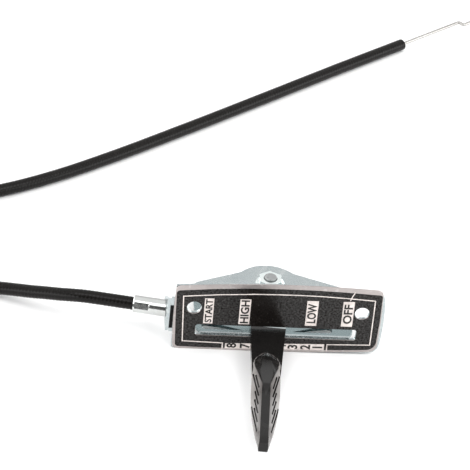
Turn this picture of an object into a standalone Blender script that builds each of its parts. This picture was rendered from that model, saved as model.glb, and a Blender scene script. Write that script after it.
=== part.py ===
"""Throttle control with its cable: a panel lever in a folded housing, and a free wire-in-conduit cord.

Metres, +Z up. The housing's face looks along -Y, the lever comes out of it towards -Y, and the cable
leaves to -X. The part stands on the hem under its face and on the head of its pivot bolt, at z = 0.
Inside the script, places are measured from the middle of the face's lower edge, at the face's front
side, and one empty carries the whole object to its origin, the middle of its outline on the surface.
"""

import math

import bmesh
import bpy
from mathutils import Matrix, Vector

MM = 0.001

# Clearances
TOUCH_GAP = 0.3 * MM  # between pieces that touch or are seated on each other
RUN_GAP = 0.35 * MM  # round the sliding wire

# Label: a thin printed plate on the housing's face, set on slightly askew
LABEL_WIDTH = 94.4 * MM
LABEL_HEIGHT = 37.2 * MM
LABEL_THICKNESS = 0.5 * MM
LABEL_TOP_CROWN = 1.9 * MM
LABEL_BOTTOM_CROWN = 0.8 * MM
LABEL_END_BOW = 0.5 * MM
LABEL_CORNER = 2.4 * MM
LABEL_TURN = math.radians(0.9)

# Housing: one sheet with a face, a hem returned behind it, a pivot plate and a side ear
SHEET = 1.2 * MM
FACE_RIGHT = 48.7 * MM
FACE_LEFT = 49.0 * MM
FACE_HEIGHT = 36.7 * MM
FACE_TOP_CROWN = 2.3 * MM
FACE_BOTTOM_CROWN = 0.6 * MM
FACE_END_BOW = 1.2 * MM
FACE_CORNER = 5.0 * MM
HEM_HALF_LENGTH = 34.0 * MM

# Openings in the face and the label
SLOT_LENGTH = 73.5 * MM
SLOT_WIDTH = 6.1 * MM
SLOT_HEIGHT = 10.9 * MM  # its middle, above the lower edge
SLOT_CORNER = 1.2 * MM
HOLE_DIAMETER = 6.7 * MM
HOLE_SPACING = 76.2 * MM
HOLE_RISE = 12.3 * MM  # above the slot's middle

# Pivot plate
PLATE_THICKNESS = 1.5 * MM
PLATE_TOP = 8.4 * MM
PLATE_WING = 36.0 * MM
PLATE_WING_CORNER = 5.5 * MM
PIVOT_DEPTH = 37.0 * MM  # behind the label's front
NOSE_RADIUS = 15.5 * MM
NOSE_OFFSET = 3.3 * MM  # the nose's centre, behind the pivot
NOSE_HALF_ANGLE = math.radians(42.0)
NOSE_FILLET = 4.0 * MM
FLANK_SLOPE = math.radians(23.7)
WINDOW_DEPTH = 4.6 * MM
WINDOW_BACK = 1.0 * MM  # sheet kept behind the hem, in front of the windows
WINDOW_INNER = 11.5 * MM
WINDOW_OUTER = 30.0 * MM
WINDOW_MIDDLE = -3.3 * MM

# Side ear, a rounded tab that holds the cable's ferrule
EAR_FRONT_LOW = 8.8 * MM
EAR_FRONT_HIGH = 30.5 * MM
EAR_DEPTH = 18.5 * MM
EAR_BACK_LOW = 9.5 * MM
EAR_BACK_HIGH = 20.5 * MM
EAR_CORNER = 4.5 * MM

# Lever: a flat blade with a moulded grip
LEVER_REST = math.radians(-5.56)  # from straight ahead, towards -X
WIRE_ARM = 25.0 * MM  # from the pivot
BLADE_THICKNESS = 1.6 * MM
BLADE_HALF_WIDTH = 8.1 * MM
BLADE_END_RADIUS = 8.3 * MM
BLADE_SHOULDER = -2.3 * MM  # this and the places below lie along the lever, from the label's front
TANG_HALF_WIDTH = 4.8 * MM
TANG_END = 29.0 * MM
GRIP_START = -1.5 * MM
GRIP_END = 81.7 * MM
NECK_HALF_THICKNESS = 1.9 * MM
NECK_HALF_WIDTH = 8.0 * MM
NECK_THINNING = 26.0 * MM
NECK_END = 33.0 * MM
GRIP_HALF_WIDTH = 6.4 * MM
GRIP_HALF_THICKNESS = 4.6 * MM
GRIP_EDGE_HALF = 0.9 * MM  # half of the upright edge between the two faces
BOSS_START = 16.6 * MM
BOSS_FULL = 25.4 * MM
BOSS_NOSE_HALF = 0.4 * MM
BOSS_ROUNDING = 5.0 * MM
PANEL_HALF = 2.0 * MM
PANEL_WIDE = 2.9 * MM
TEARDROP_WIDE = 28.0 * MM
TEARDROP_END = 43.0 * MM
BAND_HALF = 1.75 * MM
BAND_EDGE = 0.25 * MM
TAPER_START = 42.0 * MM
TAPER_POWER = 2.25
TIP_HALF = 2.15 * MM
TIP_HALF_THICKNESS = 3.3 * MM
TIP_ROUNDING = 2.0 * MM
GROOVE_FIRST = 45.4 * MM  # the inner end of the first groove
GROOVE_LAST = 73.7 * MM
GROOVE_COUNT = 6
GROOVES_LONG = (1, 5)  # counted from 0
GROOVE_LENGTH = 10.4 * MM
GROOVE_LONG_LENGTH = 18.0 * MM
GROOVE_INSET = 1.35 * MM  # from the band to a groove's inner end
GROOVE_WIDTH = 0.8 * MM
GROOVE_DEPTH = 0.55 * MM
GROOVE_LEAN = math.radians(8.9)

# Pivot stack
BOLT_SHANK = 5.8 * MM
BOLT_CLEARANCE = 0.3 * MM
BOLT_HEAD_WIDTH = 10.0 * MM
BOLT_HEAD_HEIGHT = 3.6 * MM
BOLT_END_ABOVE_NUT = 0.8 * MM
FLAT_WASHER_DIAMETER = 13.0 * MM
FLAT_WASHER_THICKNESS = 1.0 * MM
SPRING_WASHER_DIAMETER = 12.0 * MM
SPRING_WASHER_THICKNESS = 0.7 * MM
FRICTION_WASHER_DIAMETER = 15.0 * MM
FRICTION_WASHER_THICKNESS = 0.5 * MM
NUT_WIDTH = 10.0 * MM
NUT_FLANGE_DIAMETER = 13.4 * MM
NUT_FLANGE_HEIGHT = 1.0 * MM
NUT_HEIGHT = 3.2 * MM

# Cable: a wire in a jacketed steel spiral, and the ferrule that holds it
CONDUIT_DIAMETER = 6.1 * MM
JACKET_WALL = 0.8 * MM
LINER_WALL = 0.7 * MM
WIRE_DIAMETER = 1.8 * MM
CABLE_HEIGHT = 15.0 * MM
CABLE_DEPTH = 9.95 * MM  # behind the face, where the cable meets the ear
CABLE_YAW = math.radians(10.6)
FERRULE_DIAMETER = 8.0 * MM
FERRULE_LENGTH = 15.6 * MM
FERRULE_END_WALL = 2.8 * MM
FERRULE_CHAMFER = 0.6 * MM
FERRULE_NECK_DIAMETER = 5.4 * MM
FERRULE_LIP = 0.9 * MM
FERRULE_LIP_HEIGHT = 0.8 * MM
CRIMP_LENGTH = 8.0 * MM
CRIMP_DEPTH = 0.35 * MM
CRIMP_HALF_WIDTH = 2.2 * MM
ENTRY_LENGTH = 32.0 * MM  # hollow, straight stretch of conduit inside and past the ferrule
END_LENGTH = 36.0 * MM  # hollow, straight stretch at the engine end
WIRE_INSIDE = 17.5 * MM
HOOK_STUB = 3.0 * MM
HOOK_BEND = 1.6 * MM
HOOK_BELOW = 0.5 * MM
LINK_GAP = 1.0 * MM  # between the hook and the sliding wire, the linkage's open pivot
WIRE_STRAIGHT = 16.0 * MM
WIRE_OUT = 38.5 * MM
Z_BEND_OFFSET = 3.6 * MM
Z_BEND_RADIUS = 1.0 * MM
Z_BEND_TAIL = 8.5 * MM
WIRE_END_INSIDE = 15.5 * MM

# Free cord: the stretch from the entry to the coil, the coil, and the stretch to the engine end
COIL_CENTRE = Vector((-173.0, 66.0)) * MM
COIL_RADIUS = 31.0 * MM
COIL_HEIGHT = 17.6 * MM
COIL_EDGE = 3.0 * MM
TIE_WIDTH = 6.0 * MM
TIE_THICKNESS = 0.8 * MM
TIE_ANGLES = (150.0, 330.0)  # round the coil, seen from above
ON_TABLE = CONDUIT_DIAMETER / 2
NEAR_ROUTE = [  # x, y and z in millimetres, from the hollow entry to the coil
    (-90.5, 17.0, 14.2),
    (-97.3, 20.0, 12.6),
    (-104.2, 23.7, 10.6),
    (-111.1, 27.4, 8.5),
    (-118.0, 31.2, 6.5),
    (-124.9, 34.3, 4.9),
    (-132.0, 36.2, 3.8),
    (-139.0, 36.9, 3.2),
    (-146.2, 36.6, 3.05),
]
FAR_ROUTE = [  # x, y and z in millimetres, from the coil's outer side to the hollow end
    (-213.7, 58.8, 9.2),
    (-214.1, 69.6, 8.6),
    (-211.8, 80.1, 7.2),
    (-206.8, 89.7, 5.6),
    (-199.5, 97.6, 4.2),
    (-190.5, 103.4, 3.3),
    (-181.6, 106.4, 3.05),
    (-174.4, 107.3, 3.05),
    (-165.0, 107.9, 3.05),
    (-156.0, 109.0, 3.05),
    (-147.0, 110.8, 3.05),
    (-138.0, 113.3, 3.05),
    (-126.4, 118.1, 3.05),
    (-116.7, 122.9, 3.05),
    (-106.9, 128.4, 3.05),
    (-97.0, 134.5, 3.05),
    (-87.0, 141.2, 3.05),
    (-77.0, 148.3, 3.05),
    (-66.7, 155.8, 3.05),
    (-56.4, 163.6, 3.05),
    (-45.9, 171.7, 3.05),
    (-35.2, 180.0, 3.05),
    (-24.5, 188.3, 3.05),
    (-13.6, 196.9, 3.05),
    (-2.5, 205.7, 3.05),
    (8.7, 214.6, 3.05),
    (20.0, 223.6, 3.05),
    (31.5, 232.8, 3.05),
    (43.2, 242.1, 3.05),
    (53.6, 250.4, 3.05),
]
CABLE_END = Vector((92.4, 280.6)) * MM
CABLE_END_YAW = math.radians(37.9)

# Colours of the finishes, linear, with roughness and metallic value
FINISHES = {
    "zinc": ((0.55, 0.62, 0.66), 0.3, 1.0),
    "aluminium": ((0.75, 0.72, 0.70), 0.35, 1.0),
    "steel": ((0.6, 0.6, 0.6), 0.25, 1.0),
    "black_plastic": ((0.015, 0.015, 0.016), 0.4, 0.0),
    "black_vinyl": ((0.01, 0.01, 0.01), 0.45, 0.0),
    "fibre": ((0.12, 0.06, 0.03), 0.8, 0.0),
    "nylon": ((0.02, 0.02, 0.02), 0.5, 0.0),
}

# Heights that follow from the sizes above
PLATE_BOTTOM = PLATE_TOP - PLATE_THICKNESS
FRICTION_WASHER_BOTTOM = PLATE_TOP + TOUCH_GAP
BLADE_BOTTOM = FRICTION_WASHER_BOTTOM + FRICTION_WASHER_THICKNESS + TOUCH_GAP
BLADE_TOP = BLADE_BOTTOM + BLADE_THICKNESS
BLADE_MIDDLE = (BLADE_BOTTOM + BLADE_TOP) / 2
NECK_MIDDLE = BLADE_MIDDLE + 0.3 * MM
NUT_BOTTOM = BLADE_TOP + TOUCH_GAP
NUT_TOP = NUT_BOTTOM + NUT_HEIGHT
SPRING_WASHER_TOP = PLATE_BOTTOM - TOUCH_GAP
FLAT_WASHER_BOTTOM = BOLT_HEAD_HEIGHT + TOUCH_GAP
FLAT_WASHER_TOP = FLAT_WASHER_BOTTOM + FLAT_WASHER_THICKNESS
FACE_FRONT = LABEL_THICKNESS + TOUCH_GAP
FACE_BACK = FACE_FRONT + SHEET
EAR_OUTSIDE = -(FACE_LEFT + SHEET)
PIVOT_HOLE = BOLT_SHANK / 2 + BOLT_CLEARANCE

# The object's origin: the middle of its outline without the cord, on the surface it stands on
LEVER_REACH = PIVOT_DEPTH + GRIP_END
LEVER_TIP = PIVOT_DEPTH - LEVER_REACH * math.cos(LEVER_REST) - TIP_HALF * abs(math.sin(LEVER_REST))
NOSE_TIP = PIVOT_DEPTH + NOSE_OFFSET + NOSE_RADIUS
ORIGIN = Vector(((FACE_RIGHT + EAR_OUTSIDE) / 2, (LEVER_TIP + NOSE_TIP) / 2, 0.0))

ROUND_STEPS = 48


def clear_scene():
    for obj in list(bpy.data.objects):
        bpy.data.objects.remove(obj, do_unlink=True)


def make_collection(name):
    collection = bpy.data.collections.new(name)
    bpy.context.scene.collection.children.link(collection)
    return collection


def make_material(name, finish):
    colour, roughness, metallic = FINISHES[finish]
    material = bpy.data.materials.new(name)
    material.use_nodes = True
    shader = material.node_tree.nodes["Principled BSDF"]
    shader.inputs["Base Color"].default_value = (*colour, 1.0)
    shader.inputs["Roughness"].default_value = roughness
    shader.inputs["Metallic"].default_value = metallic
    material.diffuse_color = (*colour, 1.0)
    return material


def make_empty(name, location=(0, 0, 0), turn=0.0, parent=None):
    """An empty that carries other objects, turned about the vertical."""
    empty = bpy.data.objects.new(name, None)
    parts.objects.link(empty)
    empty.parent = parent
    empty.location = location
    empty.rotation_euler = (0, 0, turn)
    return empty


def add_object(name, data, parent, finish, matrix=None):
    """Links one sub-part, carried by parent at a place in the parent's own frame."""
    obj = bpy.data.objects.new(name, data)
    parts.objects.link(obj)
    obj.parent = parent
    if matrix is not None:
        obj.matrix_local = matrix
    obj.data.materials.append(make_material(name, finish))
    return obj


def make_helper(obj):
    """Moves an object to the cutters, out of the build."""
    for collection in list(obj.users_collection):
        collection.objects.unlink(obj)
    cutters.objects.link(obj)
    obj.hide_render = True
    obj.display_type = "WIRE"
    return obj


def shade(obj, angle=35.0):
    obj.data.shade_smooth()
    obj.data.set_sharp_from_angle(angle=math.radians(angle))


def boolean(target, other, operation):
    """Cuts or joins with a helper object."""
    modifier = target.modifiers.new(f"{operation}_{other.name}".lower(), "BOOLEAN")
    modifier.operation = operation
    modifier.object = make_helper(other)
    modifier.solver = "EXACT"


def curve_to_mesh(obj):
    """Turns a curve object into a mesh object of the same name and place."""
    bpy.context.view_layer.update()
    graph = bpy.context.evaluated_depsgraph_get()
    mesh = bpy.data.meshes.new_from_object(obj.evaluated_get(graph))
    welded = bmesh.new()
    welded.from_mesh(mesh)
    bmesh.ops.remove_doubles(welded, verts=welded.verts, dist=0.001 * MM)
    bmesh.ops.recalc_face_normals(welded, faces=welded.faces)
    welded.to_mesh(mesh)
    welded.free()
    made = bpy.data.objects.new(obj.name, mesh)
    parts.objects.link(made)
    made.parent = obj.parent
    made.matrix_world = obj.matrix_world.copy()
    name = obj.name
    bpy.data.objects.remove(obj, do_unlink=True)
    made.name = name
    return made


def flat_shape(name, outlines, thickness, parent, finish, matrix):
    """A plate: closed outlines in XY, the later ones holes, made thick both ways along local Z."""
    curve = bpy.data.curves.new(name, "CURVE")
    curve.dimensions = "2D"
    curve.fill_mode = "BOTH"
    curve.extrude = thickness / 2
    for outline in outlines:
        spline = curve.splines.new("POLY")
        spline.points.add(len(outline) - 1)
        for point, (x, y) in zip(spline.points, outline):
            point.co = (x, y, 0, 1)
        spline.use_cyclic_u = True
    return curve_to_mesh(add_object(name, curve, parent, finish, matrix))


def turned_shape(name, profile, parent, finish, matrix, steps=ROUND_STEPS):
    """A turned solid: a closed profile of radius and height, running down its outer side."""
    mesh = bpy.data.meshes.new(name)
    shape = bmesh.new()
    verts = [shape.verts.new((radius, 0, height)) for radius, height in profile]
    for first, second in zip(verts, verts[1:] + verts[:1]):
        shape.edges.new((first, second))
    shape.to_mesh(mesh)
    shape.free()
    obj = add_object(name, mesh, parent, finish, matrix)
    screw = obj.modifiers.new("turn", "SCREW")
    screw.steps = screw.render_steps = steps
    screw.use_merge_vertices = True
    screw.merge_threshold = 0.001 * MM
    return obj


def round_bar(name, radius, bottom, top, parent, finish, matrix, sides=ROUND_STEPS):
    """A solid cylinder or prism along local Z."""
    mesh = bpy.data.meshes.new(name)
    shape = bmesh.new()
    bmesh.ops.create_cone(
        shape, cap_ends=True, segments=sides, radius1=radius, radius2=radius, depth=top - bottom
    )
    bmesh.ops.translate(shape, verts=shape.verts, vec=(0, 0, (top + bottom) / 2))
    shape.to_mesh(mesh)
    shape.free()
    return add_object(name, mesh, parent, finish, matrix)


def box(name, size, centre, parent, finish, matrix=None):
    mesh = bpy.data.meshes.new(name)
    shape = bmesh.new()
    bmesh.ops.create_cube(shape, size=1.0)
    bmesh.ops.scale(shape, verts=shape.verts, vec=size)
    bmesh.ops.translate(shape, verts=shape.verts, vec=centre)
    shape.to_mesh(mesh)
    shape.free()
    return add_object(name, mesh, parent, finish, matrix)


def ring_profile(outer, inner, bottom, top):
    return [(outer, top), (outer, bottom), (inner, bottom), (inner, top)]


def tube(name, points, radius, parent, finish, resolution=4):
    """A solid cord or wire along points, with flat closed ends."""
    curve = bpy.data.curves.new(name, "CURVE")
    curve.dimensions = "3D"
    curve.bevel_depth = radius
    curve.bevel_resolution = resolution
    curve.use_fill_caps = True
    spline = curve.splines.new("POLY")
    spline.points.add(len(points) - 1)
    for point, place in zip(spline.points, points):
        point.co = (*place, 1)
    return add_object(name, curve, parent, finish)


def rounded(corners, segment=math.radians(12.0)):
    """An outline from corners (x, y, radius), each rounded by an arc that meets both sides."""
    outline = []
    count = len(corners)
    for index, (x, y, radius) in enumerate(corners):
        here = Vector((x, y))
        before = (Vector(corners[index - 1][:2]) - here).normalized()
        after = (Vector(corners[(index + 1) % count][:2]) - here).normalized()
        between = before.angle(after)
        turn = math.pi - between
        if radius <= 0 or turn < 1e-4:
            outline.append((x, y))
            continue
        reach = radius / math.tan(between / 2)
        centre = here + (before + after).normalized() * (radius / math.sin(between / 2))
        start = here + before * reach - centre
        side = 1 if before.x * after.y - before.y * after.x < 0 else -1
        steps = max(2, math.ceil(turn / segment))
        for step in range(steps + 1):
            spoke = start.copy()
            spoke.rotate(Matrix.Rotation(side * turn * step / steps, 2))
            outline.append(tuple(centre + spoke))
    return outline


def barrel(left, right, bottom, top, bottom_crown, top_crown, end_bow, corners, parts_each=6):
    """A rectangle whose sides bow outwards, with its four corner radii from lower left, anticlockwise."""
    middle = (left + right) / 2
    half = (right - left) / 2
    height = (top - bottom) / 2
    low, high = bottom + bottom_crown, top - top_crown
    lower_left, lower_right, upper_right, upper_left = corners

    def bow(low_end, high_end, crown, share):
        return low_end + (high_end - low_end) * share, crown * (1 - (2 * share - 1) ** 2)

    points = [(left + end_bow, low, lower_left)]
    for step in range(1, parts_each):
        x, out = bow(left + end_bow, right - end_bow, bottom_crown, step / parts_each)
        points.append((x, low - out, 0))
    points.append((right - end_bow, low, lower_right))
    for step in range(1, 4):
        z, out = bow(low, high, end_bow, step / 4)
        points.append((right - end_bow + out, z, 0))
    points.append((right - end_bow, high, upper_right))
    for step in range(1, parts_each):
        x, out = bow(right - end_bow, left + end_bow, top_crown, step / parts_each)
        points.append((x, high + out, 0))
    points.append((left + end_bow, high, upper_left))
    for step in range(1, 4):
        z, out = bow(high, low, end_bow, step / 4)
        points.append((left + end_bow - out, z, 0))
    return rounded(points)


def circle(x, y, diameter, steps=28):
    return [
        (
            x + diameter / 2 * math.cos(2 * math.pi * step / steps),
            y + diameter / 2 * math.sin(2 * math.pi * step / steps),
        )
        for step in range(steps)
    ]


def rectangle(left, right, bottom, top, corner=0.0):
    return rounded(
        [(left, bottom, corner), (right, bottom, corner), (right, top, corner), (left, top, corner)]
    )


def face_openings():
    """The slot and the two mounting holes, as outlines of x and height."""
    outlines = [
        rectangle(
            -SLOT_LENGTH / 2,
            SLOT_LENGTH / 2,
            SLOT_HEIGHT - SLOT_WIDTH / 2,
            SLOT_HEIGHT + SLOT_WIDTH / 2,
            SLOT_CORNER,
        )
    ]
    for side in (-1, 1):
        outlines.append(circle(side * HOLE_SPACING / 2, SLOT_HEIGHT + HOLE_RISE, HOLE_DIAMETER))
    return outlines


def upright(depth):
    """A frame whose XY is the face's X and height, with local Z towards the front, at a depth."""
    return Matrix.Translation((0, depth, 0)) @ Matrix.Rotation(math.pi / 2, 4, "X")


def flat(height):
    return Matrix.Translation((0, 0, height))


def smooth_route(route, spacing):
    """Points at about equal spacing on a smooth curve through the route's own points."""
    points = [Vector(place) for place in route]
    ends = [2 * points[0] - points[1], *points, 2 * points[-1] - points[-2]]
    fine = []
    for index in range(1, len(ends) - 2):
        p0, p1, p2, p3 = ends[index - 1 : index + 3]
        for step in range(16):
            t = step / 16
            fine.append(
                0.5
                * (
                    2 * p1
                    + (p2 - p0) * t
                    + (2 * p0 - 5 * p1 + 4 * p2 - p3) * t**2
                    + (3 * p1 - p0 - 3 * p2 + p3) * t**3
                )
            )
    fine.append(points[-1])
    lengths = [0.0]
    for first, second in zip(fine, fine[1:]):
        lengths.append(lengths[-1] + (second - first).length)
    count = max(2, round(lengths[-1] / spacing))
    placed = []
    index = 0
    for step in range(count + 1):
        goal = lengths[-1] * step / count
        while index < len(fine) - 2 and lengths[index + 1] < goal:
            index += 1
        share = (goal - lengths[index]) / (lengths[index + 1] - lengths[index])
        placed.append(fine[index].lerp(fine[index + 1], share))
    return placed


def bend(corner, towards, leaving, radius, steps=5):
    """Points of an arc that turns a wire at a corner, between two unit directions."""
    between = (-towards).angle(leaving)
    reach = radius / math.tan(between / 2)
    centre = corner + (leaving - towards).normalized() * (radius / math.sin(between / 2))
    start = corner - towards * reach - centre
    finish = corner + leaving * reach - centre
    return [centre + start.slerp(finish, step / steps) * radius for step in range(steps + 1)]


def plate_outline():
    """The pivot plate seen from above: wings, straight flanks and a round nose round the pivot."""
    nose = Vector((0, PIVOT_DEPTH + NOSE_OFFSET))
    leaving = Vector((math.sin(NOSE_HALF_ANGLE), math.cos(NOSE_HALF_ANGLE))) * NOSE_RADIUS + nose
    along = Vector((math.cos(NOSE_HALF_ANGLE), -math.sin(NOSE_HALF_ANGLE)))
    flank = Vector((math.cos(FLANK_SLOPE), -math.sin(FLANK_SLOPE)))
    meet = leaving + along * (NOSE_FILLET * 0.8)
    wing = meet + flank * ((PLATE_WING - meet.x) / flank.x)
    crown = NOSE_RADIUS / math.cos(NOSE_HALF_ANGLE / 2)
    shoulder = nose + crown * Vector((math.sin(NOSE_HALF_ANGLE / 2), math.cos(NOSE_HALF_ANGLE / 2)))
    right = [
        (HEM_HALF_LENGTH, FACE_BACK, 0),
        (PLATE_WING, FACE_BACK + SHEET * 3, 2 * MM),
        (wing.x, wing.y, PLATE_WING_CORNER),
        (meet.x, meet.y, NOSE_FILLET),
        (shoulder.x, shoulder.y, NOSE_RADIUS),
    ]
    left = [(-x, y, radius) for x, y, radius in reversed(right)]
    return rounded(right + left)


def window_outline(side):
    """One crescent window in the pivot plate, behind the face: pointed inside, round outside."""
    front = FACE_BACK + SHEET + WINDOW_BACK
    inner = WINDOW_MIDDLE + side * WINDOW_INNER
    outer = WINDOW_MIDDLE + side * WINDOW_OUTER
    back = front + WINDOW_DEPTH
    return rounded(
        [
            (inner, front, 0),
            (outer, front, WINDOW_DEPTH * 0.45),
            (outer, back, WINDOW_DEPTH * 0.45),
            ((inner + outer) / 2, front + WINDOW_DEPTH * 0.7, WINDOW_INNER),
        ]
    )


def make_housing(control):
    face = flat_shape(
        "housing",
        [
            barrel(
                -FACE_LEFT,
                FACE_RIGHT,
                0,
                FACE_HEIGHT,
                FACE_BOTTOM_CROWN,
                FACE_TOP_CROWN,
                FACE_END_BOW,
                (SHEET, FACE_CORNER, FACE_CORNER, SHEET),
            ),
            *face_openings(),
        ],
        SHEET,
        control,
        "zinc",
        upright(FACE_FRONT + SHEET / 2),
    )
    hem_outline = [
        (FACE_BACK - SHEET / 2, 0, 0),
        (FACE_BACK + SHEET, 0, SHEET * 0.9),
        (FACE_BACK + SHEET, PLATE_TOP, 0),
        (FACE_BACK - SHEET / 2, PLATE_TOP, 0),
    ]
    on_end = Matrix.Rotation(math.pi / 2, 4, "Z") @ Matrix.Rotation(math.pi / 2, 4, "X")
    hem = flat_shape(
        "hem", [rounded(hem_outline)], 2 * HEM_HALF_LENGTH, control, "zinc", on_end
    )
    plate = flat_shape(
        "plate",
        [
            plate_outline(),
            circle(0, PIVOT_DEPTH, 2 * PIVOT_HOLE),
            window_outline(-1),
            window_outline(1),
        ],
        PLATE_THICKNESS,
        control,
        "zinc",
        flat(PLATE_TOP - PLATE_THICKNESS / 2),
    )
    ear_outline = rounded(
        [
            (FACE_FRONT, EAR_FRONT_LOW, SHEET * 0.9),
            (EAR_DEPTH, EAR_BACK_LOW, EAR_CORNER),
            (EAR_DEPTH, EAR_BACK_HIGH, EAR_CORNER),
            (FACE_FRONT, EAR_FRONT_HIGH, SHEET * 0.9),
        ]
    )
    ear = flat_shape(
        "ear",
        [
            ear_outline,
            circle(
                CABLE_DEPTH - SHEET / 2 * math.tan(CABLE_YAW),
                CABLE_HEIGHT,
                FERRULE_NECK_DIAMETER + 2 * TOUCH_GAP + SHEET * math.tan(CABLE_YAW),
            ),
        ],
        SHEET,
        control,
        "zinc",
        Matrix.Translation((EAR_OUTSIDE + SHEET / 2, 0, 0)) @ on_end,
    )
    bridge = box(
        "ear_bend",
        (SHEET * 2.5, SHEET, EAR_FRONT_HIGH - EAR_FRONT_LOW - 2 * SHEET),
        (-FACE_LEFT + SHEET / 4, FACE_FRONT + SHEET / 2, (EAR_FRONT_HIGH + EAR_FRONT_LOW) / 2),
        control,
        "zinc",
    )
    for piece in (hem, plate, ear, bridge):
        boolean(face, piece, "UNION")
    return face


def make_label(control):
    middle = Vector((0, LABEL_HEIGHT / 2))
    outline = []
    for x, z in barrel(
        -LABEL_WIDTH / 2,
        LABEL_WIDTH / 2,
        0,
        LABEL_HEIGHT,
        LABEL_BOTTOM_CROWN,
        LABEL_TOP_CROWN,
        LABEL_END_BOW,
        (LABEL_CORNER, LABEL_CORNER * 1.8, LABEL_CORNER, LABEL_CORNER),
        parts_each=10,
    ):
        spoke = Vector((x, z)) - middle
        spoke.rotate(Matrix.Rotation(LABEL_TURN, 2))
        outline.append(tuple(middle + spoke))
    lift = -min(z for _, z in outline)
    outline = [(x, z + lift) for x, z in outline]
    flat_shape(
        "label_plate",
        [outline, *face_openings()],
        LABEL_THICKNESS,
        control,
        "aluminium",
        upright(LABEL_THICKNESS / 2),
    )


def blade_outline():
    """The lever's blade in the lever's frame, pointing along -Y from the pivot."""
    shoulder = -(PIVOT_DEPTH + BLADE_SHOULDER)
    tang = -(PIVOT_DEPTH + TANG_END)
    return rounded(
        [
            (-BLADE_HALF_WIDTH, BLADE_END_RADIUS, BLADE_END_RADIUS * 0.93),
            (-BLADE_HALF_WIDTH, shoulder, 1.0 * MM),
            (-TANG_HALF_WIDTH, shoulder, 0),
            (-TANG_HALF_WIDTH, tang, TANG_HALF_WIDTH * 0.8),
            (TANG_HALF_WIDTH, tang, TANG_HALF_WIDTH * 0.8),
            (TANG_HALF_WIDTH, shoulder, 0),
            (BLADE_HALF_WIDTH, shoulder, 1.0 * MM),
            (BLADE_HALF_WIDTH, BLADE_END_RADIUS, BLADE_END_RADIUS * 0.93),
        ]
    )


def make_blade(lever):
    flat_shape(
        "lever_blade",
        [
            blade_outline(),
            circle(0, 0, 2 * PIVOT_HOLE),
            circle(0, -WIRE_ARM, WIRE_DIAMETER + 2 * RUN_GAP, steps=16),
        ],
        BLADE_THICKNESS,
        lever,
        "zinc",
        flat(BLADE_MIDDLE),
    )


def blend_value(knots, distance):
    """A value read between (distance, value) knots, eased at each knot."""
    for (first, low), (second, high) in zip(knots, knots[1:]):
        if distance <= second:
            share = max(0.0, (distance - first) / (second - first))
            share = share * share * (3 - 2 * share)
            return low + (high - low) * share
    return knots[-1][1]


def loft(name, rings, parent, finish):
    """A closed solid through rings of equal point count, with flat ends."""
    shape = bmesh.new()
    loops = [[shape.verts.new(point) for point in ring] for ring in rings]
    count = len(loops[0])
    for first, second in zip(loops, loops[1:]):
        for index in range(count):
            after = (index + 1) % count
            shape.faces.new((first[index], first[after], second[after], second[index]))
    shape.faces.new(list(reversed(loops[0])))
    shape.faces.new(loops[-1])
    bmesh.ops.recalc_face_normals(shape, faces=shape.faces)
    mesh = bpy.data.meshes.new(name)
    shape.to_mesh(mesh)
    shape.free()
    return add_object(name, mesh, parent, finish)


def side_half(distance):
    """Half the grip's width: a round nose, parallel sides, and a round draw-in to the tip."""
    nose = BOSS_NOSE_HALF + math.sqrt(BOSS_ROUNDING * max(0.0, distance - BOSS_START))
    drawn = max(0.0, distance - TAPER_START) / (GRIP_END - TAPER_START)
    body = GRIP_HALF_WIDTH + (TIP_HALF - GRIP_HALF_WIDTH) * drawn**TAPER_POWER
    return min(nose, body)


def grip_section(distance):
    """A quarter of the grip's section at a place along it: its top, wall foot and edge corners."""
    side = side_half(distance)
    top = blend_value(
        [
            (BOSS_START, NECK_HALF_THICKNESS * 0.98),
            (BOSS_FULL, GRIP_HALF_THICKNESS),
            (TAPER_START, GRIP_HALF_THICKNESS),
            (GRIP_END - TIP_ROUNDING, TIP_HALF_THICKNESS),
            (GRIP_END, TIP_HALF_THICKNESS * 0.75),
        ],
        distance,
    )
    panel = blend_value(
        [
            (BOSS_START, BOSS_NOSE_HALF * 0.5),
            (BOSS_FULL, PANEL_HALF),
            ((TEARDROP_WIDE + TEARDROP_END) / 2, PANEL_WIDE),
            (TEARDROP_END, BAND_HALF),
        ],
        distance,
    )
    edge = min(GRIP_EDGE_HALF, top)
    drawn = (distance - TEARDROP_WIDE) / (TEARDROP_END - TEARDROP_WIDE)
    drawn = min(1.0, max(0.0, drawn))
    band_foot = BAND_HALF + BAND_EDGE
    foot = side * 0.96 + (band_foot - side * 0.96) * drawn
    foot_height = top - BAND_EDGE / 2
    if drawn < 1.0:
        slope = (GRIP_HALF_THICKNESS - GRIP_EDGE_HALF) / (GRIP_HALF_WIDTH - BAND_HALF)
        rim = blend_value(
            [(NECK_THINNING, NECK_HALF_THICKNESS * 0.97), (NECK_END, GRIP_EDGE_HALF)], distance
        )
        foot_height = min(foot_height, max(rim, edge + (side - foot) * slope))
    return (min(panel, foot * 0.9), top), (foot, foot_height), (side, edge)


def grip_ring(distance):
    """The grip's twelve-sided section at a place along it."""
    top = list(grip_section(distance))
    right = top + [(x, -z) for x, z in reversed(top)]
    left = [(-x, z) for x, z in reversed(right)]
    return [(x, -(PIVOT_DEPTH + distance), NECK_MIDDLE + z) for x, z in right + left]


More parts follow.
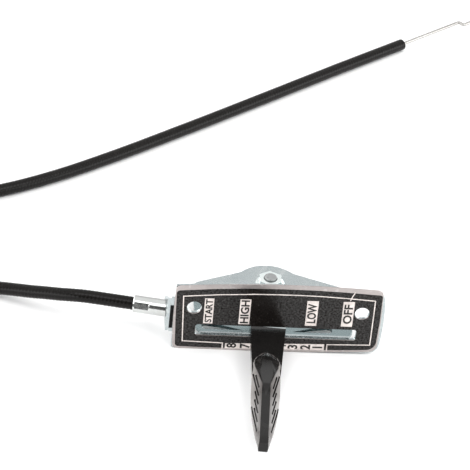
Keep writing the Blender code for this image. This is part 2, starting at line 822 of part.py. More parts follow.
def make_grip(lever):
    """The moulded grip: a flat neck, a round teardrop, and grooved flanks beside a flat band."""
    neck_rings = []
    for share in (0.0, 0.25, 0.5, 0.75, 1.0):
        distance = GRIP_START + (NECK_END - GRIP_START) * share
        half = NECK_HALF_WIDTH + (GRIP_HALF_WIDTH - NECK_HALF_WIDTH) * share
        thick = blend_value(
            [(NECK_THINNING, NECK_HALF_THICKNESS), (NECK_END, GRIP_EDGE_HALF)], distance
        )
        neck_rings.append(
            [
                (x, -(PIVOT_DEPTH + distance), NECK_MIDDLE + z)
                for x, z in ((half, thick), (half, -thick), (-half, -thick), (-half, thick))
            ]
        )
    neck = loft("neck", neck_rings, lever, "black_plastic")

    nose = [BOSS_START + BOSS_ROUNDING * share for share in (0.0, 0.08, 0.25, 0.55)]
    steps = 24
    body_start = BOSS_START + BOSS_ROUNDING
    rest = [body_start + (GRIP_END - body_start) * step / steps for step in range(steps + 1)]
    body = loft("grip", [grip_ring(distance) for distance in nose + rest], lever, "black_plastic")
    boolean(body, neck, "UNION")
    boolean(body, make_tang_pocket(lever), "DIFFERENCE")
    boolean(body, make_grooves(lever), "DIFFERENCE")
    return body


def make_tang_pocket(lever):
    back = PIVOT_DEPTH + GRIP_START - 1 * MM
    front = PIVOT_DEPTH + TANG_END + TOUCH_GAP
    return box(
        "tang_pocket",
        (2 * (TANG_HALF_WIDTH + TOUCH_GAP), front - back, BLADE_THICKNESS + 2 * TOUCH_GAP),
        (0, -(front + back) / 2, BLADE_MIDDLE),
        lever,
        "black_plastic",
    )


def flank_point(distance, across):
    """A point on the grip's upper right flank, at a place along it and across it."""
    (_, _), (foot, foot_height), (side, edge) = grip_section(distance)
    share = (across - foot) / (side - foot)
    height = foot_height + (edge - foot_height) * share
    return Vector((across, -(PIVOT_DEPTH + distance), height))


def make_grooves(lever):
    """Slanted slots in the four flanks of the grip, as one cutter of separate bars."""
    shape = bmesh.new()
    pitch = (GROOVE_LAST - GROOVE_FIRST) / (GROOVE_COUNT - 1)
    for index in range(GROOVE_COUNT):
        inner_place = GROOVE_FIRST + pitch * index
        length = GROOVE_LONG_LENGTH if index in GROOVES_LONG else GROOVE_LENGTH
        across = BAND_HALF + GROOVE_INSET
        inner = flank_point(inner_place, across)
        outer_place = inner_place - length * math.cos(GROOVE_LEAN)
        outer = flank_point(outer_place, across + length * math.sin(GROOVE_LEAN))
        middle = (inner_place + outer_place) / 2
        (_, _), (foot, foot_height), (side, edge) = grip_section(middle)
        outward = Vector((foot_height - edge, 0, side - foot))
        for turn in (Vector((1, 1, 1)), Vector((-1, 1, 1)), Vector((1, 1, -1)), Vector((-1, 1, -1))):
            along = ((outer - inner) * turn).normalized()
            across_bar = along.cross(outward * turn).normalized()
            upright_bar = across_bar.cross(along)
            centre = (inner + outer) / 2 * turn + Vector((0, 0, NECK_MIDDLE))
            made = bmesh.ops.create_cube(shape, size=1.0)["verts"]
            bmesh.ops.scale(
                shape,
                verts=made,
                vec=(GROOVE_WIDTH, (outer - inner).length, 2 * GROOVE_DEPTH),
            )
            place = Matrix((across_bar, along, upright_bar)).transposed().to_4x4()
            bmesh.ops.transform(shape, matrix=Matrix.Translation(centre) @ place, verts=made)
    mesh = bpy.data.meshes.new("grooves")
    shape.to_mesh(mesh)
    shape.free()
    return add_object("grooves", mesh, lever, "black_plastic")


def make_pivot_stack(control):
    """The bolt, its nut and washers, on the pivot's axis."""
    at_pivot = Matrix.Translation((0, PIVOT_DEPTH, 0))
    hexagon = math.sqrt(3) / 2
    bolt = round_bar(
        "pivot_bolt",
        BOLT_SHANK / 2,
        BOLT_HEAD_HEIGHT / 2,
        NUT_TOP + BOLT_END_ABOVE_NUT,
        control,
        "steel",
        at_pivot,
        sides=32,
    )
    head = round_bar(
        "bolt_head",
        BOLT_HEAD_WIDTH / 2 / hexagon,
        0,
        BOLT_HEAD_HEIGHT,
        control,
        "steel",
        at_pivot,
        sides=6,
    )
    boolean(bolt, head, "UNION")
    nut = round_bar(
        "pivot_nut",
        NUT_WIDTH / 2 / hexagon,
        NUT_BOTTOM + NUT_FLANGE_HEIGHT / 2,
        NUT_TOP,
        control,
        "zinc",
        at_pivot,
        sides=6,
    )
    nut_flange = turned_shape(
        "nut_flange",
        [
            (0, NUT_BOTTOM + NUT_FLANGE_HEIGHT),
            (NUT_WIDTH / 2 + 0.5 * MM, NUT_BOTTOM + NUT_FLANGE_HEIGHT),
            (NUT_FLANGE_DIAMETER / 2, NUT_BOTTOM + NUT_FLANGE_HEIGHT * 0.5),
            (NUT_FLANGE_DIAMETER / 2, NUT_BOTTOM),
            (0, NUT_BOTTOM),
        ],
        control,
        "zinc",
        at_pivot,
    )
    nut_bore = round_bar(
        "nut_bore",
        BOLT_SHANK / 2 + TOUCH_GAP,
        NUT_BOTTOM - 1 * MM,
        NUT_TOP + 1 * MM,
        control,
        "zinc",
        at_pivot,
        sides=32,
    )
    boolean(nut, nut_flange, "UNION")
    boolean(nut, nut_bore, "DIFFERENCE")
    turned_shape(
        "flat_washer",
        ring_profile(
            FLAT_WASHER_DIAMETER / 2, PIVOT_HOLE, FLAT_WASHER_BOTTOM, FLAT_WASHER_TOP
        ),
        control,
        "steel",
        at_pivot,
    )
    spring_low = FLAT_WASHER_TOP + TOUCH_GAP
    spring_outer = SPRING_WASHER_DIAMETER / 2
    turned_shape(
        "spring_washer",
        [
            (spring_outer, spring_low + SPRING_WASHER_THICKNESS),
            (spring_outer, spring_low),
            (PIVOT_HOLE, SPRING_WASHER_TOP - SPRING_WASHER_THICKNESS),
            (PIVOT_HOLE, SPRING_WASHER_TOP),
        ],
        control,
        "steel",
        at_pivot,
    )
    turned_shape(
        "friction_washer",
        ring_profile(
            FRICTION_WASHER_DIAMETER / 2,
            PIVOT_HOLE,
            FRICTION_WASHER_BOTTOM,
            FRICTION_WASHER_BOTTOM + FRICTION_WASHER_THICKNESS,
        ),
        control,
        "fibre",
        at_pivot,
    )


def cable_frame():
    """A frame on the ferrule's axis at the ear's outer face, with local Z along the cable."""
    away = math.pi - CABLE_YAW
    return (
        Matrix.Translation((EAR_OUTSIDE, CABLE_DEPTH, CABLE_HEIGHT))
        @ Matrix.Rotation(away, 4, "Z")
        @ Matrix.Rotation(math.pi / 2, 4, "Y")
    )


def end_frame():
    """A frame at the conduit's engine end, with local Z along the wire."""
    return (
        Matrix.Translation((CABLE_END.x, CABLE_END.y, ON_TABLE))
        @ Matrix.Rotation(CABLE_END_YAW, 4, "Z")
        @ Matrix.Rotation(math.pi / 2, 4, "Y")
    )


def make_ferrule(control):
    """A steel ferrule that leans in the ear's hole, with the conduit's end crimped inside it."""
    wall_inside = CONDUIT_DIAMETER / 2 + TOUCH_GAP
    wire_bore = WIRE_DIAMETER / 2 + 2 * RUN_GAP
    neck = FERRULE_NECK_DIAMETER / 2
    lean = math.tan(CABLE_YAW)
    inner_end = -(SHEET / math.cos(CABLE_YAW) + TOUCH_GAP + (neck + FERRULE_LIP) * lean)
    lip_end = inner_end - FERRULE_LIP_HEIGHT
    head = TOUCH_GAP + FERRULE_DIAMETER / 2 * lean
    profile = [
        (wall_inside, FERRULE_LENGTH),
        (FERRULE_DIAMETER / 2, FERRULE_LENGTH),
        (FERRULE_DIAMETER / 2, head + FERRULE_CHAMFER),
        (FERRULE_DIAMETER / 2 - FERRULE_CHAMFER, head),
        (neck, head),
        (neck, inner_end),
        (neck + FERRULE_LIP, inner_end),
        (neck + FERRULE_LIP, lip_end),
        (wire_bore, lip_end),
        (wire_bore, FERRULE_END_WALL),
        (wall_inside, FERRULE_END_WALL),
    ]
    ferrule = turned_shape("ferrule", profile, control, "steel", cable_frame())
    crimp_middle = FERRULE_LENGTH - CRIMP_LENGTH / 2 - 0.6 * MM
    for name, turn in (("crimp_front", 0.25), ("crimp_back", 1.25)):
        press = box(
            name,
            (2 * CRIMP_DEPTH, 2 * CRIMP_HALF_WIDTH, CRIMP_LENGTH),
            (FERRULE_DIAMETER / 2, 0, crimp_middle),
            control,
            "steel",
            cable_frame() @ Matrix.Rotation(turn * math.pi, 4, "Z"),
        )
        boolean(ferrule, press, "DIFFERENCE")
    return ferrule


def make_conduit_end(prefix, frame, start, stop, parent):
    """A hollow stretch of conduit, its jacket and the steel spiral inside it, where the wire slides."""
    outer = CONDUIT_DIAMETER / 2
    liner_outer = outer - JACKET_WALL - TOUCH_GAP / 3
    turned_shape(
        f"{prefix}_jacket",
        ring_profile(outer, outer - JACKET_WALL, start, stop),
        parent,
        "black_vinyl",
        frame,
        steps=24,
    )
    turned_shape(
        f"{prefix}_liner",
        ring_profile(liner_outer, liner_outer - LINER_WALL, start, stop),
        parent,
        "steel",
        frame,
        steps=24,
    )


def make_cable(control):
    """The free cord: near run, coil with its ties, far run, and the hollow stretches at both ends."""
    start = FERRULE_END_WALL + TOUCH_GAP
    stop = start + ENTRY_LENGTH
    make_conduit_end("entry", cable_frame(), start, stop, control)
    make_conduit_end("engine_end", end_frame(), -END_LENGTH, 0, control)

    spacing = 2 * CONDUIT_DIAMETER
    radius = CONDUIT_DIAMETER / 2
    leaving = [cable_frame() @ Vector((0, 0, stop + TOUCH_GAP + more)) for more in (0, radius)]
    near = smooth_route([leaving[1]] + [Vector(place) * MM for place in NEAR_ROUTE], spacing)
    tube("conduit_near_run", [leaving[0]] + near, radius, control, "black_vinyl")
    meeting = [end_frame() @ Vector((0, 0, -END_LENGTH - TOUCH_GAP - more)) for more in (radius, 0)]
    far = smooth_route([Vector(place) * MM for place in FAR_ROUTE] + [meeting[0]], spacing)
    tube("conduit_far_run", far + [meeting[1]], radius, control, "black_vinyl")

    at_coil = Matrix.Translation((COIL_CENTRE.x, COIL_CENTRE.y, 0))
    coil = turned_shape(
        "conduit_coil", coil_profile(0), control, "black_vinyl", at_coil, steps=64
    )
    for letter, angle in zip("ab", TIE_ANGLES):
        across = (
            at_coil
            @ Matrix.Rotation(math.radians(angle), 4, "Z")
            @ Matrix.Rotation(math.pi / 2, 4, "X")
        )
        flat_shape(
            f"coil_tie_{letter}",
            [coil_profile(0), coil_profile(TIE_THICKNESS)],
            TIE_WIDTH,
            control,
            "nylon",
            across,
        )
        groove = flat_shape(
            f"tie_groove_{letter}",
            [coil_profile(-TIE_THICKNESS), coil_profile(TIE_THICKNESS + TOUCH_GAP)],
            TIE_WIDTH + 2 * TOUCH_GAP,
            control,
            "nylon",
            across,
        )
        boolean(coil, groove, "DIFFERENCE")


def coil_profile(inset):
    """The coil's section, two cords wide and three layers high, drawn in by inset."""
    half = CONDUIT_DIAMETER - inset
    shoulder = 2 * CONDUIT_DIAMETER
    crown = CONDUIT_DIAMETER / 2 - inset / 2
    low = inset
    high = COIL_HEIGHT - inset
    edge = COIL_EDGE - inset * 0.5
    right = [
        (COIL_RADIUS + crown, high),
        (COIL_RADIUS + half, shoulder),
        (COIL_RADIUS + half, low + edge),
        (COIL_RADIUS + half - edge, low),
    ]
    left = [(2 * COIL_RADIUS - radius, height) for radius, height in reversed(right)]
    return right + left


def make_wires(control, lever):
    """The inner wire: the sliding wire at each end, and the hook in the lever's blade."""
    radius = WIRE_DIAMETER / 2
    hook_top = CABLE_HEIGHT - BLADE_MIDDLE
    hook_foot = BLADE_BOTTOM - HOOK_BELOW - BLADE_MIDDLE
    down = Vector((0, 0, -1))
    towards_cable = Vector((-1, 0, 0))
    towards_cable.rotate(Matrix.Rotation(-LEVER_REST, 3, "Z"))
    corner = Vector((0, -WIRE_ARM, hook_top))
    hook_points = [
        corner + towards_cable * HOOK_STUB,
        *bend(corner, -towards_cable, down, HOOK_BEND),
        Vector((0, -WIRE_ARM, hook_foot)),
    ]
    hook_points = [point + Vector((0, 0, BLADE_MIDDLE)) for point in hook_points]
    tube("wire_hook", hook_points, radius, lever, "steel", resolution=2)

    hook_place = Vector(
        (
            WIRE_ARM * math.sin(LEVER_REST),
            PIVOT_DEPTH - WIRE_ARM * math.cos(LEVER_REST),
            CABLE_HEIGHT,
        )
    )
    frame = cable_frame()
    straight = [
        frame @ Vector((0, 0, distance)) for distance in (WIRE_INSIDE, 0, -WIRE_STRAIGHT)
    ]
    last = hook_place + Vector((-HOOK_STUB - LINK_GAP, 0, 0))
    curved = smooth_route(
        [straight[1], straight[2], straight[2].lerp(last, 0.5) + Vector((0, -0.6 * MM, 0)), last],
        5 * MM,
    )
    first_curved = next(index for index, point in enumerate(curved) if point.x > straight[2].x)
    wire_axis = make_empty("wire_slide_axis", straight[0], 0, control)
    points = [point - straight[0] for point in straight + curved[first_curved:]]
    tube("wire_lever_end", points, radius, wire_axis, "steel", resolution=2)

    frame = end_frame()
    outward = (frame.to_3x3() @ Vector((0, 0, 1))).normalized()
    aside = outward.cross(Vector((0, 0, 1)))
    first_corner = frame @ Vector((0, 0, WIRE_OUT))
    second_corner = first_corner + aside * Z_BEND_OFFSET
    inside = frame @ Vector((0, 0, -WIRE_END_INSIDE))
    route = [
        inside,
        *bend(first_corner, outward, aside, Z_BEND_RADIUS),
        *bend(second_corner, aside, outward, Z_BEND_RADIUS),
        second_corner + outward * Z_BEND_TAIL,
    ]
    end_axis = make_empty("wire_end_axis", inside, 0, control)
    tube(
        "wire_engine_end",
        [point - inside for point in route],
        radius,
        end_axis,
        "steel",
        resolution=2,
    )


clear_scene()
parts = make_collection("throttle_control")
cutters = make_collection("cutters")
control_frame = make_empty("control_frame", -ORIGIN)
lever_pivot = make_empty("lever_pivot", (0, PIVOT_DEPTH, 0), LEVER_REST, control_frame)
make_housing(control_frame)
make_label(control_frame)
make_blade(lever_pivot)
make_grip(lever_pivot)
make_pivot_stack(control_frame)
make_ferrule(control_frame)
make_cable(control_frame)
make_wires(control_frame, lever_pivot)
for part in parts.objects:
    if part.type == "MESH":
        shade(part)
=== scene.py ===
"""Throttle control with its cable: the finished look of every piece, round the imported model.

Places are in metres in the part's own frame: +Z up, the printed face and the grip towards -Y, the cable
towards -X. The control's own sizes are in millimetres in its control frame, which starts at the middle of
the face's lower edge, and placed() moves them to the part's frame.
"""

import logging
import math
from dataclasses import dataclass, field
from enum import Enum

import bmesh
import bpy
from bpy.types import Curve, ID, Material, Node, NodeOutputs, NodesModifier, NodeSocket, NodeTree, Object
from mathutils import Matrix, Quaternion, Vector
from mathutils.bvhtree import BVHTree


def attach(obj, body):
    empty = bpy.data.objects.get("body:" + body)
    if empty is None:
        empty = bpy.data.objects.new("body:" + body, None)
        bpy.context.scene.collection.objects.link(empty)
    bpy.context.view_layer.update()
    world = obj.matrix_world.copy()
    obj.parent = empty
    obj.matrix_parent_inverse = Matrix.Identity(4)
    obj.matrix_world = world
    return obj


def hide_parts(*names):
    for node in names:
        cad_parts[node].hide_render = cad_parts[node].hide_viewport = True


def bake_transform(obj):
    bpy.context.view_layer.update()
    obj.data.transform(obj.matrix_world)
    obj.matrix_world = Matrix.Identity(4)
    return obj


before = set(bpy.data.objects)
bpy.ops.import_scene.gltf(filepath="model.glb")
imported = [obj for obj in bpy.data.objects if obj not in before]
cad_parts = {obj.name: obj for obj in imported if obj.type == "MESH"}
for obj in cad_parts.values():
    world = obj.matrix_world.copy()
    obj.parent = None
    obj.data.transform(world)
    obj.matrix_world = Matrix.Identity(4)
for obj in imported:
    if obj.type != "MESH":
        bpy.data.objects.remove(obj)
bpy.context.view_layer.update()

log = logging.getLogger("throttle_control")

# A pair of limits or a flat point, a colour or a place, and the points of a flat outline.
Pair = tuple[float, float]
Triple = tuple[float, float, float]
Flat = list[Pair]

MM = 0.001
# Points of one mesh that are nearer than this are one point.
WELD = 0.0005 * MM
CONTROL_ORIGIN = Vector((0.75, 12.7749, 0.0)) * MM
IMAGE_SIZE = 470


class Body(Enum):
    """The rigid bodies that the pieces ride on."""

    CONTROL = "control"
    LEVER = "lever"
    ENGINE_WIRE = "engine_wire"


def placed(x: float, y: float, z: float) -> Vector:
    """Gives a point of the control frame in the part's frame.

    Args:
        x: Along the slot, in millimetres.
        y: Behind the label's front, in millimetres.
        z: Above the surface that the control stands on, in millimetres.

    Returns:
        The point in metres.
    """
    return Vector((x, y, z)) * MM + CONTROL_ORIGIN


def linked(name: str, data: ID) -> Object:
    """Makes an object of its data and links it to the scene."""
    made = bpy.data.objects.new(name, data)
    bpy.context.scene.collection.objects.link(made)
    return made


def mesh_object(name: str, shape: bmesh.types.BMesh) -> Object:
    """Makes an object of a finished shape, which is freed."""
    mesh = bpy.data.meshes.new(name)
    shape.to_mesh(mesh)
    shape.free()
    return linked(name, mesh)


def shaded(piece: Object, angle: float = 32.0) -> Object:
    """Shades a piece smooth, with sharp edges kept above an angle in degrees."""
    piece.data.shade_smooth()
    piece.data.set_sharp_from_angle(angle=math.radians(angle))
    return piece


def settled(piece: Object) -> Object:
    """Applies a piece's modifiers, or a curve's thickness, and its place.

    Args:
        piece: A mesh, curve or text object.

    Returns:
        A plain mesh object of the same name at the origin.
    """
    bpy.context.view_layer.update()
    graph = bpy.context.evaluated_depsgraph_get()
    mesh = bpy.data.meshes.new_from_object(piece.evaluated_get(graph))
    mesh.transform(piece.matrix_world)
    name = piece.name
    bpy.data.objects.remove(piece, do_unlink=True)
    return linked(name, mesh)


def dress(piece: Object, material: Material) -> Object:
    """Gives every face of a piece one material."""
    piece.data.materials.clear()
    piece.data.materials.append(material)
    for polygon in piece.data.polygons:
        polygon.material_index = 0
    return piece


def finished(piece: Object, material: Material, body: Body) -> Object:
    """Gives a piece its material and the body that it rides on."""
    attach(dress(piece, material), body.value)
    return piece


def welded(piece: Object, reach: float, outward: bool = False) -> Object:
    """Joins the doubled points of a mesh.

    Args:
        piece: A plain mesh.
        reach: How near two points have to be, in metres.
        outward: Whether the faces are then turned to face outwards.

    Returns:
        The same piece.
    """
    shape = bmesh.new()
    shape.from_mesh(piece.data)
    bmesh.ops.remove_doubles(shape, verts=shape.verts, dist=reach)
    if outward:
        bmesh.ops.recalc_face_normals(shape, faces=shape.faces)
    shape.to_mesh(piece.data)
    shape.free()
    return piece


def softened(
    node: str, width: float, segments: int = 2, cuts: tuple[list[Vector], ...] = ()
) -> Object:
    """Copies a CAD node with its sharp edges rounded, and stands it in for the node.

    Args:
        node: The node's name.
        width: The width of the rounding, in metres.
        segments: How many faces round each edge.
        cuts: Blocks that are cut away first, each given by its corners.

    Returns:
        The new piece.
    """
    shape = bmesh.new()
    shape.from_mesh(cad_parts[node].data)
    bmesh.ops.remove_doubles(shape, verts=shape.verts, dist=0.002 * MM)
    bmesh.ops.dissolve_limit(
        shape, angle_limit=math.radians(0.6), verts=shape.verts, edges=shape.edges
    )
    piece = mesh_object(f"{node}_finished", shape)
    for corners in cuts:
        block = bmesh.new()
        for corner in corners:
            block.verts.new(corner)
        bmesh.ops.convex_hull(block, input=block.verts)
        cutter = mesh_object(f"{node}_cut", block)
        cut = piece.modifiers.new("cut", "BOOLEAN")
        cut.operation = "DIFFERENCE"
        cut.object = cutter
        piece = settled(piece)
        bpy.data.objects.remove(cutter, do_unlink=True)
    bevel = piece.modifiers.new("rounding", "BEVEL")
    bevel.width = width
    bevel.segments = segments
    bevel.limit_method = "ANGLE"
    bevel.angle_limit = math.radians(35)
    piece = shaded(settled(piece), 50)
    level = piece.modifiers.new("flat_faces", "WEIGHTED_NORMAL")
    level.keep_sharp = True
    piece = settled(piece)
    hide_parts(node)
    return piece


def mark_recesses(piece: Object, reach: float, rays: int = 12) -> None:
    """Marks each face with the share of its outlook that the piece itself closes off nearby.

    Args:
        piece: A plain mesh. It gets a face attribute named recess, from 0 to 1.
        reach: How near the closing surface has to be, in metres.
        rays: How many directions are tried, half way down from the face's normal all round.
    """
    mesh = piece.data
    tree = BVHTree.FromPolygons(
        [vertex.co for vertex in mesh.vertices], [tuple(face.vertices) for face in mesh.polygons]
    )
    marks = mesh.attributes.new("recess", "FLOAT", "FACE")
    for face, mark in zip(mesh.polygons, marks.data):
        side = face.normal.orthogonal().normalized()
        start = face.center + face.normal * 0.01 * MM
        closed = 0
        for step in range(rays):
            ray = face.normal + Quaternion(face.normal, math.tau * step / rays) @ side
            closed += tree.ray_cast(start, ray, reach)[0] is not None
        mark.value = closed / rays


def smooth_line(points: list[Vector], spacing: float) -> list[Vector]:
    """Runs a smooth curve through points and gives points on it at equal spacing.

    Args:
        points: The points that the curve passes through.
        spacing: The distance between the points given back, in metres.

    Returns:
        Points along the curve, with both ends.
    """
    ends = [2 * points[0] - points[1], *points, 2 * points[-1] - points[-2]]
    fine: list[Vector] = []
    for index in range(1, len(ends) - 2):
        p0, p1, p2, p3 = ends[index - 1 : index + 3]
        for step in range(20):
            t = step / 20
            fine.append(
                0.5
                * (
                    2 * p1
                    + (p2 - p0) * t
                    + (2 * p0 - 5 * p1 + 4 * p2 - p3) * t**2
                    + (3 * p1 - p0 - 3 * p2 + p3) * t**3
                )
            )
    fine.append(points[-1])
    lengths = [0.0]
    for first, second in zip(fine, fine[1:]):
        lengths.append(lengths[-1] + (second - first).length)
    count = max(2, round(lengths[-1] / spacing))
    placed_points: list[Vector] = []
    index = 0
    for step in range(count + 1):
        goal = lengths[-1] * step / count
        while index < len(fine) - 2 and lengths[index + 1] < goal:
            index += 1
        share = (goal - lengths[index]) / (lengths[index + 1] - lengths[index])
        placed_points.append(fine[index].lerp(fine[index + 1], share))
    return placed_points


def corner_arc(
    corner: Vector, towards: Vector, leaving: Vector, radius: float, steps: int = 8
) -> list[Vector]:
    """Gives the points of an arc that turns a wire at a corner.

    Args:
        corner: Where the two straight lines would meet.
        towards: The unit direction of the wire before the bend.
        leaving: The unit direction of the wire after it.
        radius: The bend's radius at the wire's middle, in metres.
        steps: How many stretches the arc has.

    Returns:
        The points of the arc, from the first line to the second.
    """
    half = (-towards).angle(leaving) / 2
    centre = corner + (leaving - towards).normalized() * (radius / math.sin(half))
    start = corner - towards * (radius / math.tan(half)) - centre
    finish = corner + leaving * (radius / math.tan(half)) - centre
    return [centre + start.slerp(finish, step / steps) * radius for step in range(steps + 1)]


def poly_curve(name: str, lines: list[list[Vector]], flat: bool = False) -> Curve:
    """Makes a curve of straight stretches.

    Args:
        name: The curve's name.
        lines: The points of each line, in metres.
        flat: Whether the lines are closed outlines in one plane.

    Returns:
        The curve.
    """
    curve = bpy.data.curves.new(name, "CURVE")
    curve.dimensions = "2D" if flat else "3D"
    for line in lines:
        spline = curve.splines.new("POLY")
        spline.points.add(len(line) - 1)
        for point, place in zip(spline.points, line):
            point.co = (*place, 1)
        spline.use_cyclic_u = flat
    return curve


def round_wire(name: str, points: list[Vector], radius: float) -> Object:
    """Makes a solid wire with flat ends along points, as a plain mesh."""
    curve = poly_curve(name, [points])
    curve.bevel_depth = radius
    curve.bevel_resolution = 6
    curve.use_fill_caps = True
    return shaded(welded(settled(linked(name, curve)), 0.001 * MM), 50)


class Graph:
    """A node tree under construction, with short ways to add and join its nodes."""

    def __init__(self, tree: NodeTree) -> None:
        """Starts from a tree that exists."""
        self.tree = tree

    def add(
        self, kind: str, inputs: dict[str | int, object] | None = None, **settings: object
    ) -> Node:
        """Adds a node.

        Args:
            kind: The node's type.
            inputs: Sockets to join or constants, by each input's name or number.
            **settings: The node's own settings, which are made before its inputs.

        Returns:
            The new node.
        """
        node = self.tree.nodes.new(kind)
        for name, value in settings.items():
            setattr(node, name, value)
        for name, value in (inputs or {}).items():
            if isinstance(value, NodeSocket):
                self.tree.links.new(value, node.inputs[name])
            else:
                node.inputs[name].default_value = value
        return node

    def math(self, operation: str, *values: object) -> NodeSocket:
        """Joins sockets or numbers by one Math node."""
        node = self.add("ShaderNodeMath", dict(enumerate(values)), operation=operation)
        return node.outputs["Value"]

    def product(self, first: NodeSocket, *others: object) -> NodeSocket:
        """Multiplies a socket by others, or by numbers."""
        for other in others:
            first = self.math("MULTIPLY", first, other)
        return first

    def step(
        self, value: NodeSocket, start: float, stop: float, low: float = 0.0, high: float = 1.0
    ) -> NodeSocket:
        """Maps a value from one span to another, and holds it at both ends.

        Args:
            value: The value to map.
            start: Where it gives low.
            stop: Where it gives high. It may be below start.
            low: The result at start.
            high: The result at stop.

        Returns:
            The mapped value.
        """
        inputs = {"Value": value, "From Min": start, "From Max": stop, "To Min": low, "To Max": high}
        return self.add("ShaderNodeMapRange", inputs).outputs["Result"]

    def mix(
        self, mask: NodeSocket, low: Triple | NodeSocket, high: Triple | NodeSocket
    ) -> NodeSocket:
        """Mixes two colours, or sockets that give them, by a mask from 0 to 1."""
        inputs = {"Factor": mask}
        for name, colour in (("A", low), ("B", high)):
            inputs[name] = colour if isinstance(colour, NodeSocket) else (*colour, 1)
        return self.add("ShaderNodeMix", inputs, data_type="RGBA").outputs["Result"]

    def split(self, place: NodeSocket) -> NodeOutputs:
        """Splits a place or direction into its X, Y and Z outputs."""
        return self.add("ShaderNodeSeparateXYZ", {"Vector": place}).outputs


class Sheet(Graph):
    """A material under construction, on one Principled BSDF."""

    def __init__(self, name: str) -> None:
        """Starts a material of the given name."""
        self.material = bpy.data.materials.new(name)
        self.material.use_nodes = True
        super().__init__(self.material.node_tree)
        self.shader = self.tree.nodes["Principled BSDF"]
        coordinates = self.add("ShaderNodeTexCoord").outputs
        self.place = coordinates["Object"]
        self.normal = coordinates["Normal"]

    def set(self, **values: object) -> None:
        """Sets constant values on the shader's sockets, with _ for a space in each name."""
        for name, value in values.items():
            self.shader.inputs[name.replace("_", " ")].default_value = value

    def feed(self, name: str, socket: NodeSocket) -> None:
        """Joins a value to one of the shader's sockets."""
        self.tree.links.new(socket, self.shader.inputs[name])

    def group(self, tree: NodeTree, **inputs: object) -> NodeOutputs:
        """Places a shared group that reads the piece's own coordinates, and gives its outputs."""
        return self.add("ShaderNodeGroup", {"Place": self.place, **inputs}, node_tree=tree).outputs

    def between(self, mask: NodeSocket, low: float, high: float) -> NodeSocket:
        """Maps a mask from 0 and 1 to two values."""
        return self.step(mask, 0.0, 1.0, low, high)

    def turned(self, socket: NodeSocket, centre: Vector, angle: float) -> NodeOutputs:
        """Turns a place or direction about the vertical and splits it.

        Args:
            socket: The place or direction.
            centre: The point that it turns about.
            angle: How far it turns, in radians.

        Returns:
            Its X, Y and Z outputs.
        """
        inputs = {"Vector": socket, "Center": centre, "Angle": angle}
        node = self.add("ShaderNodeVectorRotate", inputs, rotation_type="Z_AXIS")
        return self.split(node.outputs["Vector"])

    def bump(self, height: NodeSocket, depth: float) -> None:
        """Raises the surface by a height map, to a depth in metres."""
        node = self.add("ShaderNodeBump", {"Strength": 1.0, "Distance": depth, "Height": height})
        self.feed("Normal", node.outputs["Normal"])


class SharedGroup(Graph):
    """A shader node group with a place input, number inputs and number outputs."""

    def __init__(self, name: str, inputs: dict[str, float], outputs: tuple[str, ...]) -> None:
        """Starts the group.

        Args:
            name: The group's name.
            inputs: Each number input with its first value.
            outputs: The names of the outputs.
        """
        super().__init__(bpy.data.node_groups.new(name, "ShaderNodeTree"))
        socket = self.tree.interface.new_socket
        socket("Place", in_out="INPUT", socket_type="NodeSocketVector")
        for given, value in inputs.items():
            socket(given, in_out="INPUT", socket_type="NodeSocketFloat").default_value = value
        for result in outputs:
            socket(result, in_out="OUTPUT", socket_type="NodeSocketFloat")
        self.given = self.add("NodeGroupInput").outputs
        self.result = self.add("NodeGroupOutput").inputs

    def give(self, name: str, socket: NodeSocket) -> None:
        """Joins a value to one of the group's outputs."""
        self.tree.links.new(socket, self.result[name])


def grain_group() -> NodeTree:
    """Builds the group that gives fine grain: a soft noise from 0 to 1, and a speckle mask."""
    group = SharedGroup(
        "fine_grain", {"Scale": 1000.0, "Detail": 3.0, "Threshold": 0.6}, ("Grain", "Speckle")
    )
    given = group.given
    inputs = {"Vector": given["Place"], "Scale": given["Scale"], "Detail": given["Detail"]}
    noise = group.add("ShaderNodeTexNoise", inputs).outputs["Fac"]
    group.give("Grain", group.step(noise, 0.3, 0.7))
    above = group.math("SUBTRACT", noise, given["Threshold"])
    steep = group.add("ShaderNodeMath", {0: above, 1: 12.0}, operation="MULTIPLY", use_clamp=True)
    group.give("Speckle", steep.outputs["Value"])
    return group.tree


def scratch_group() -> NodeTree:
    """Builds the group that gives fine scratches: a mask of short thin lines in two directions."""
    group = SharedGroup(
        "fine_scratches", {"Scale": 400.0, "Stretch": 0.06, "Amount": 0.5}, ("Scratches",)
    )
    given = group.given
    masks = []
    for turn in (0.5, -0.9):
        inputs = {"Vector": given["Place"], "Axis": (0.3, 0.5, 0.8), "Angle": turn}
        turned = group.add("ShaderNodeVectorRotate", inputs, rotation_type="AXIS_ANGLE")
        shape = group.add("ShaderNodeCombineXYZ", {"X": 1.0, "Y": given["Stretch"], "Z": 1.0})
        pair = {0: turned.outputs["Vector"], 1: shape.outputs["Vector"]}
        stretched = group.add("ShaderNodeVectorMath", pair, operation="MULTIPLY")
        inputs = {"Vector": stretched.outputs["Vector"], "Scale": given["Scale"], "Detail": 1.0}
        noise = group.add("ShaderNodeTexNoise", inputs)
        masks.append(group.step(noise.outputs["Fac"], 0.64, 0.72))
    group.give("Scratches", group.product(group.math("MAXIMUM", *masks), given["Amount"]))
    return group.tree


GRAIN = grain_group()
SCRATCHES = scratch_group()


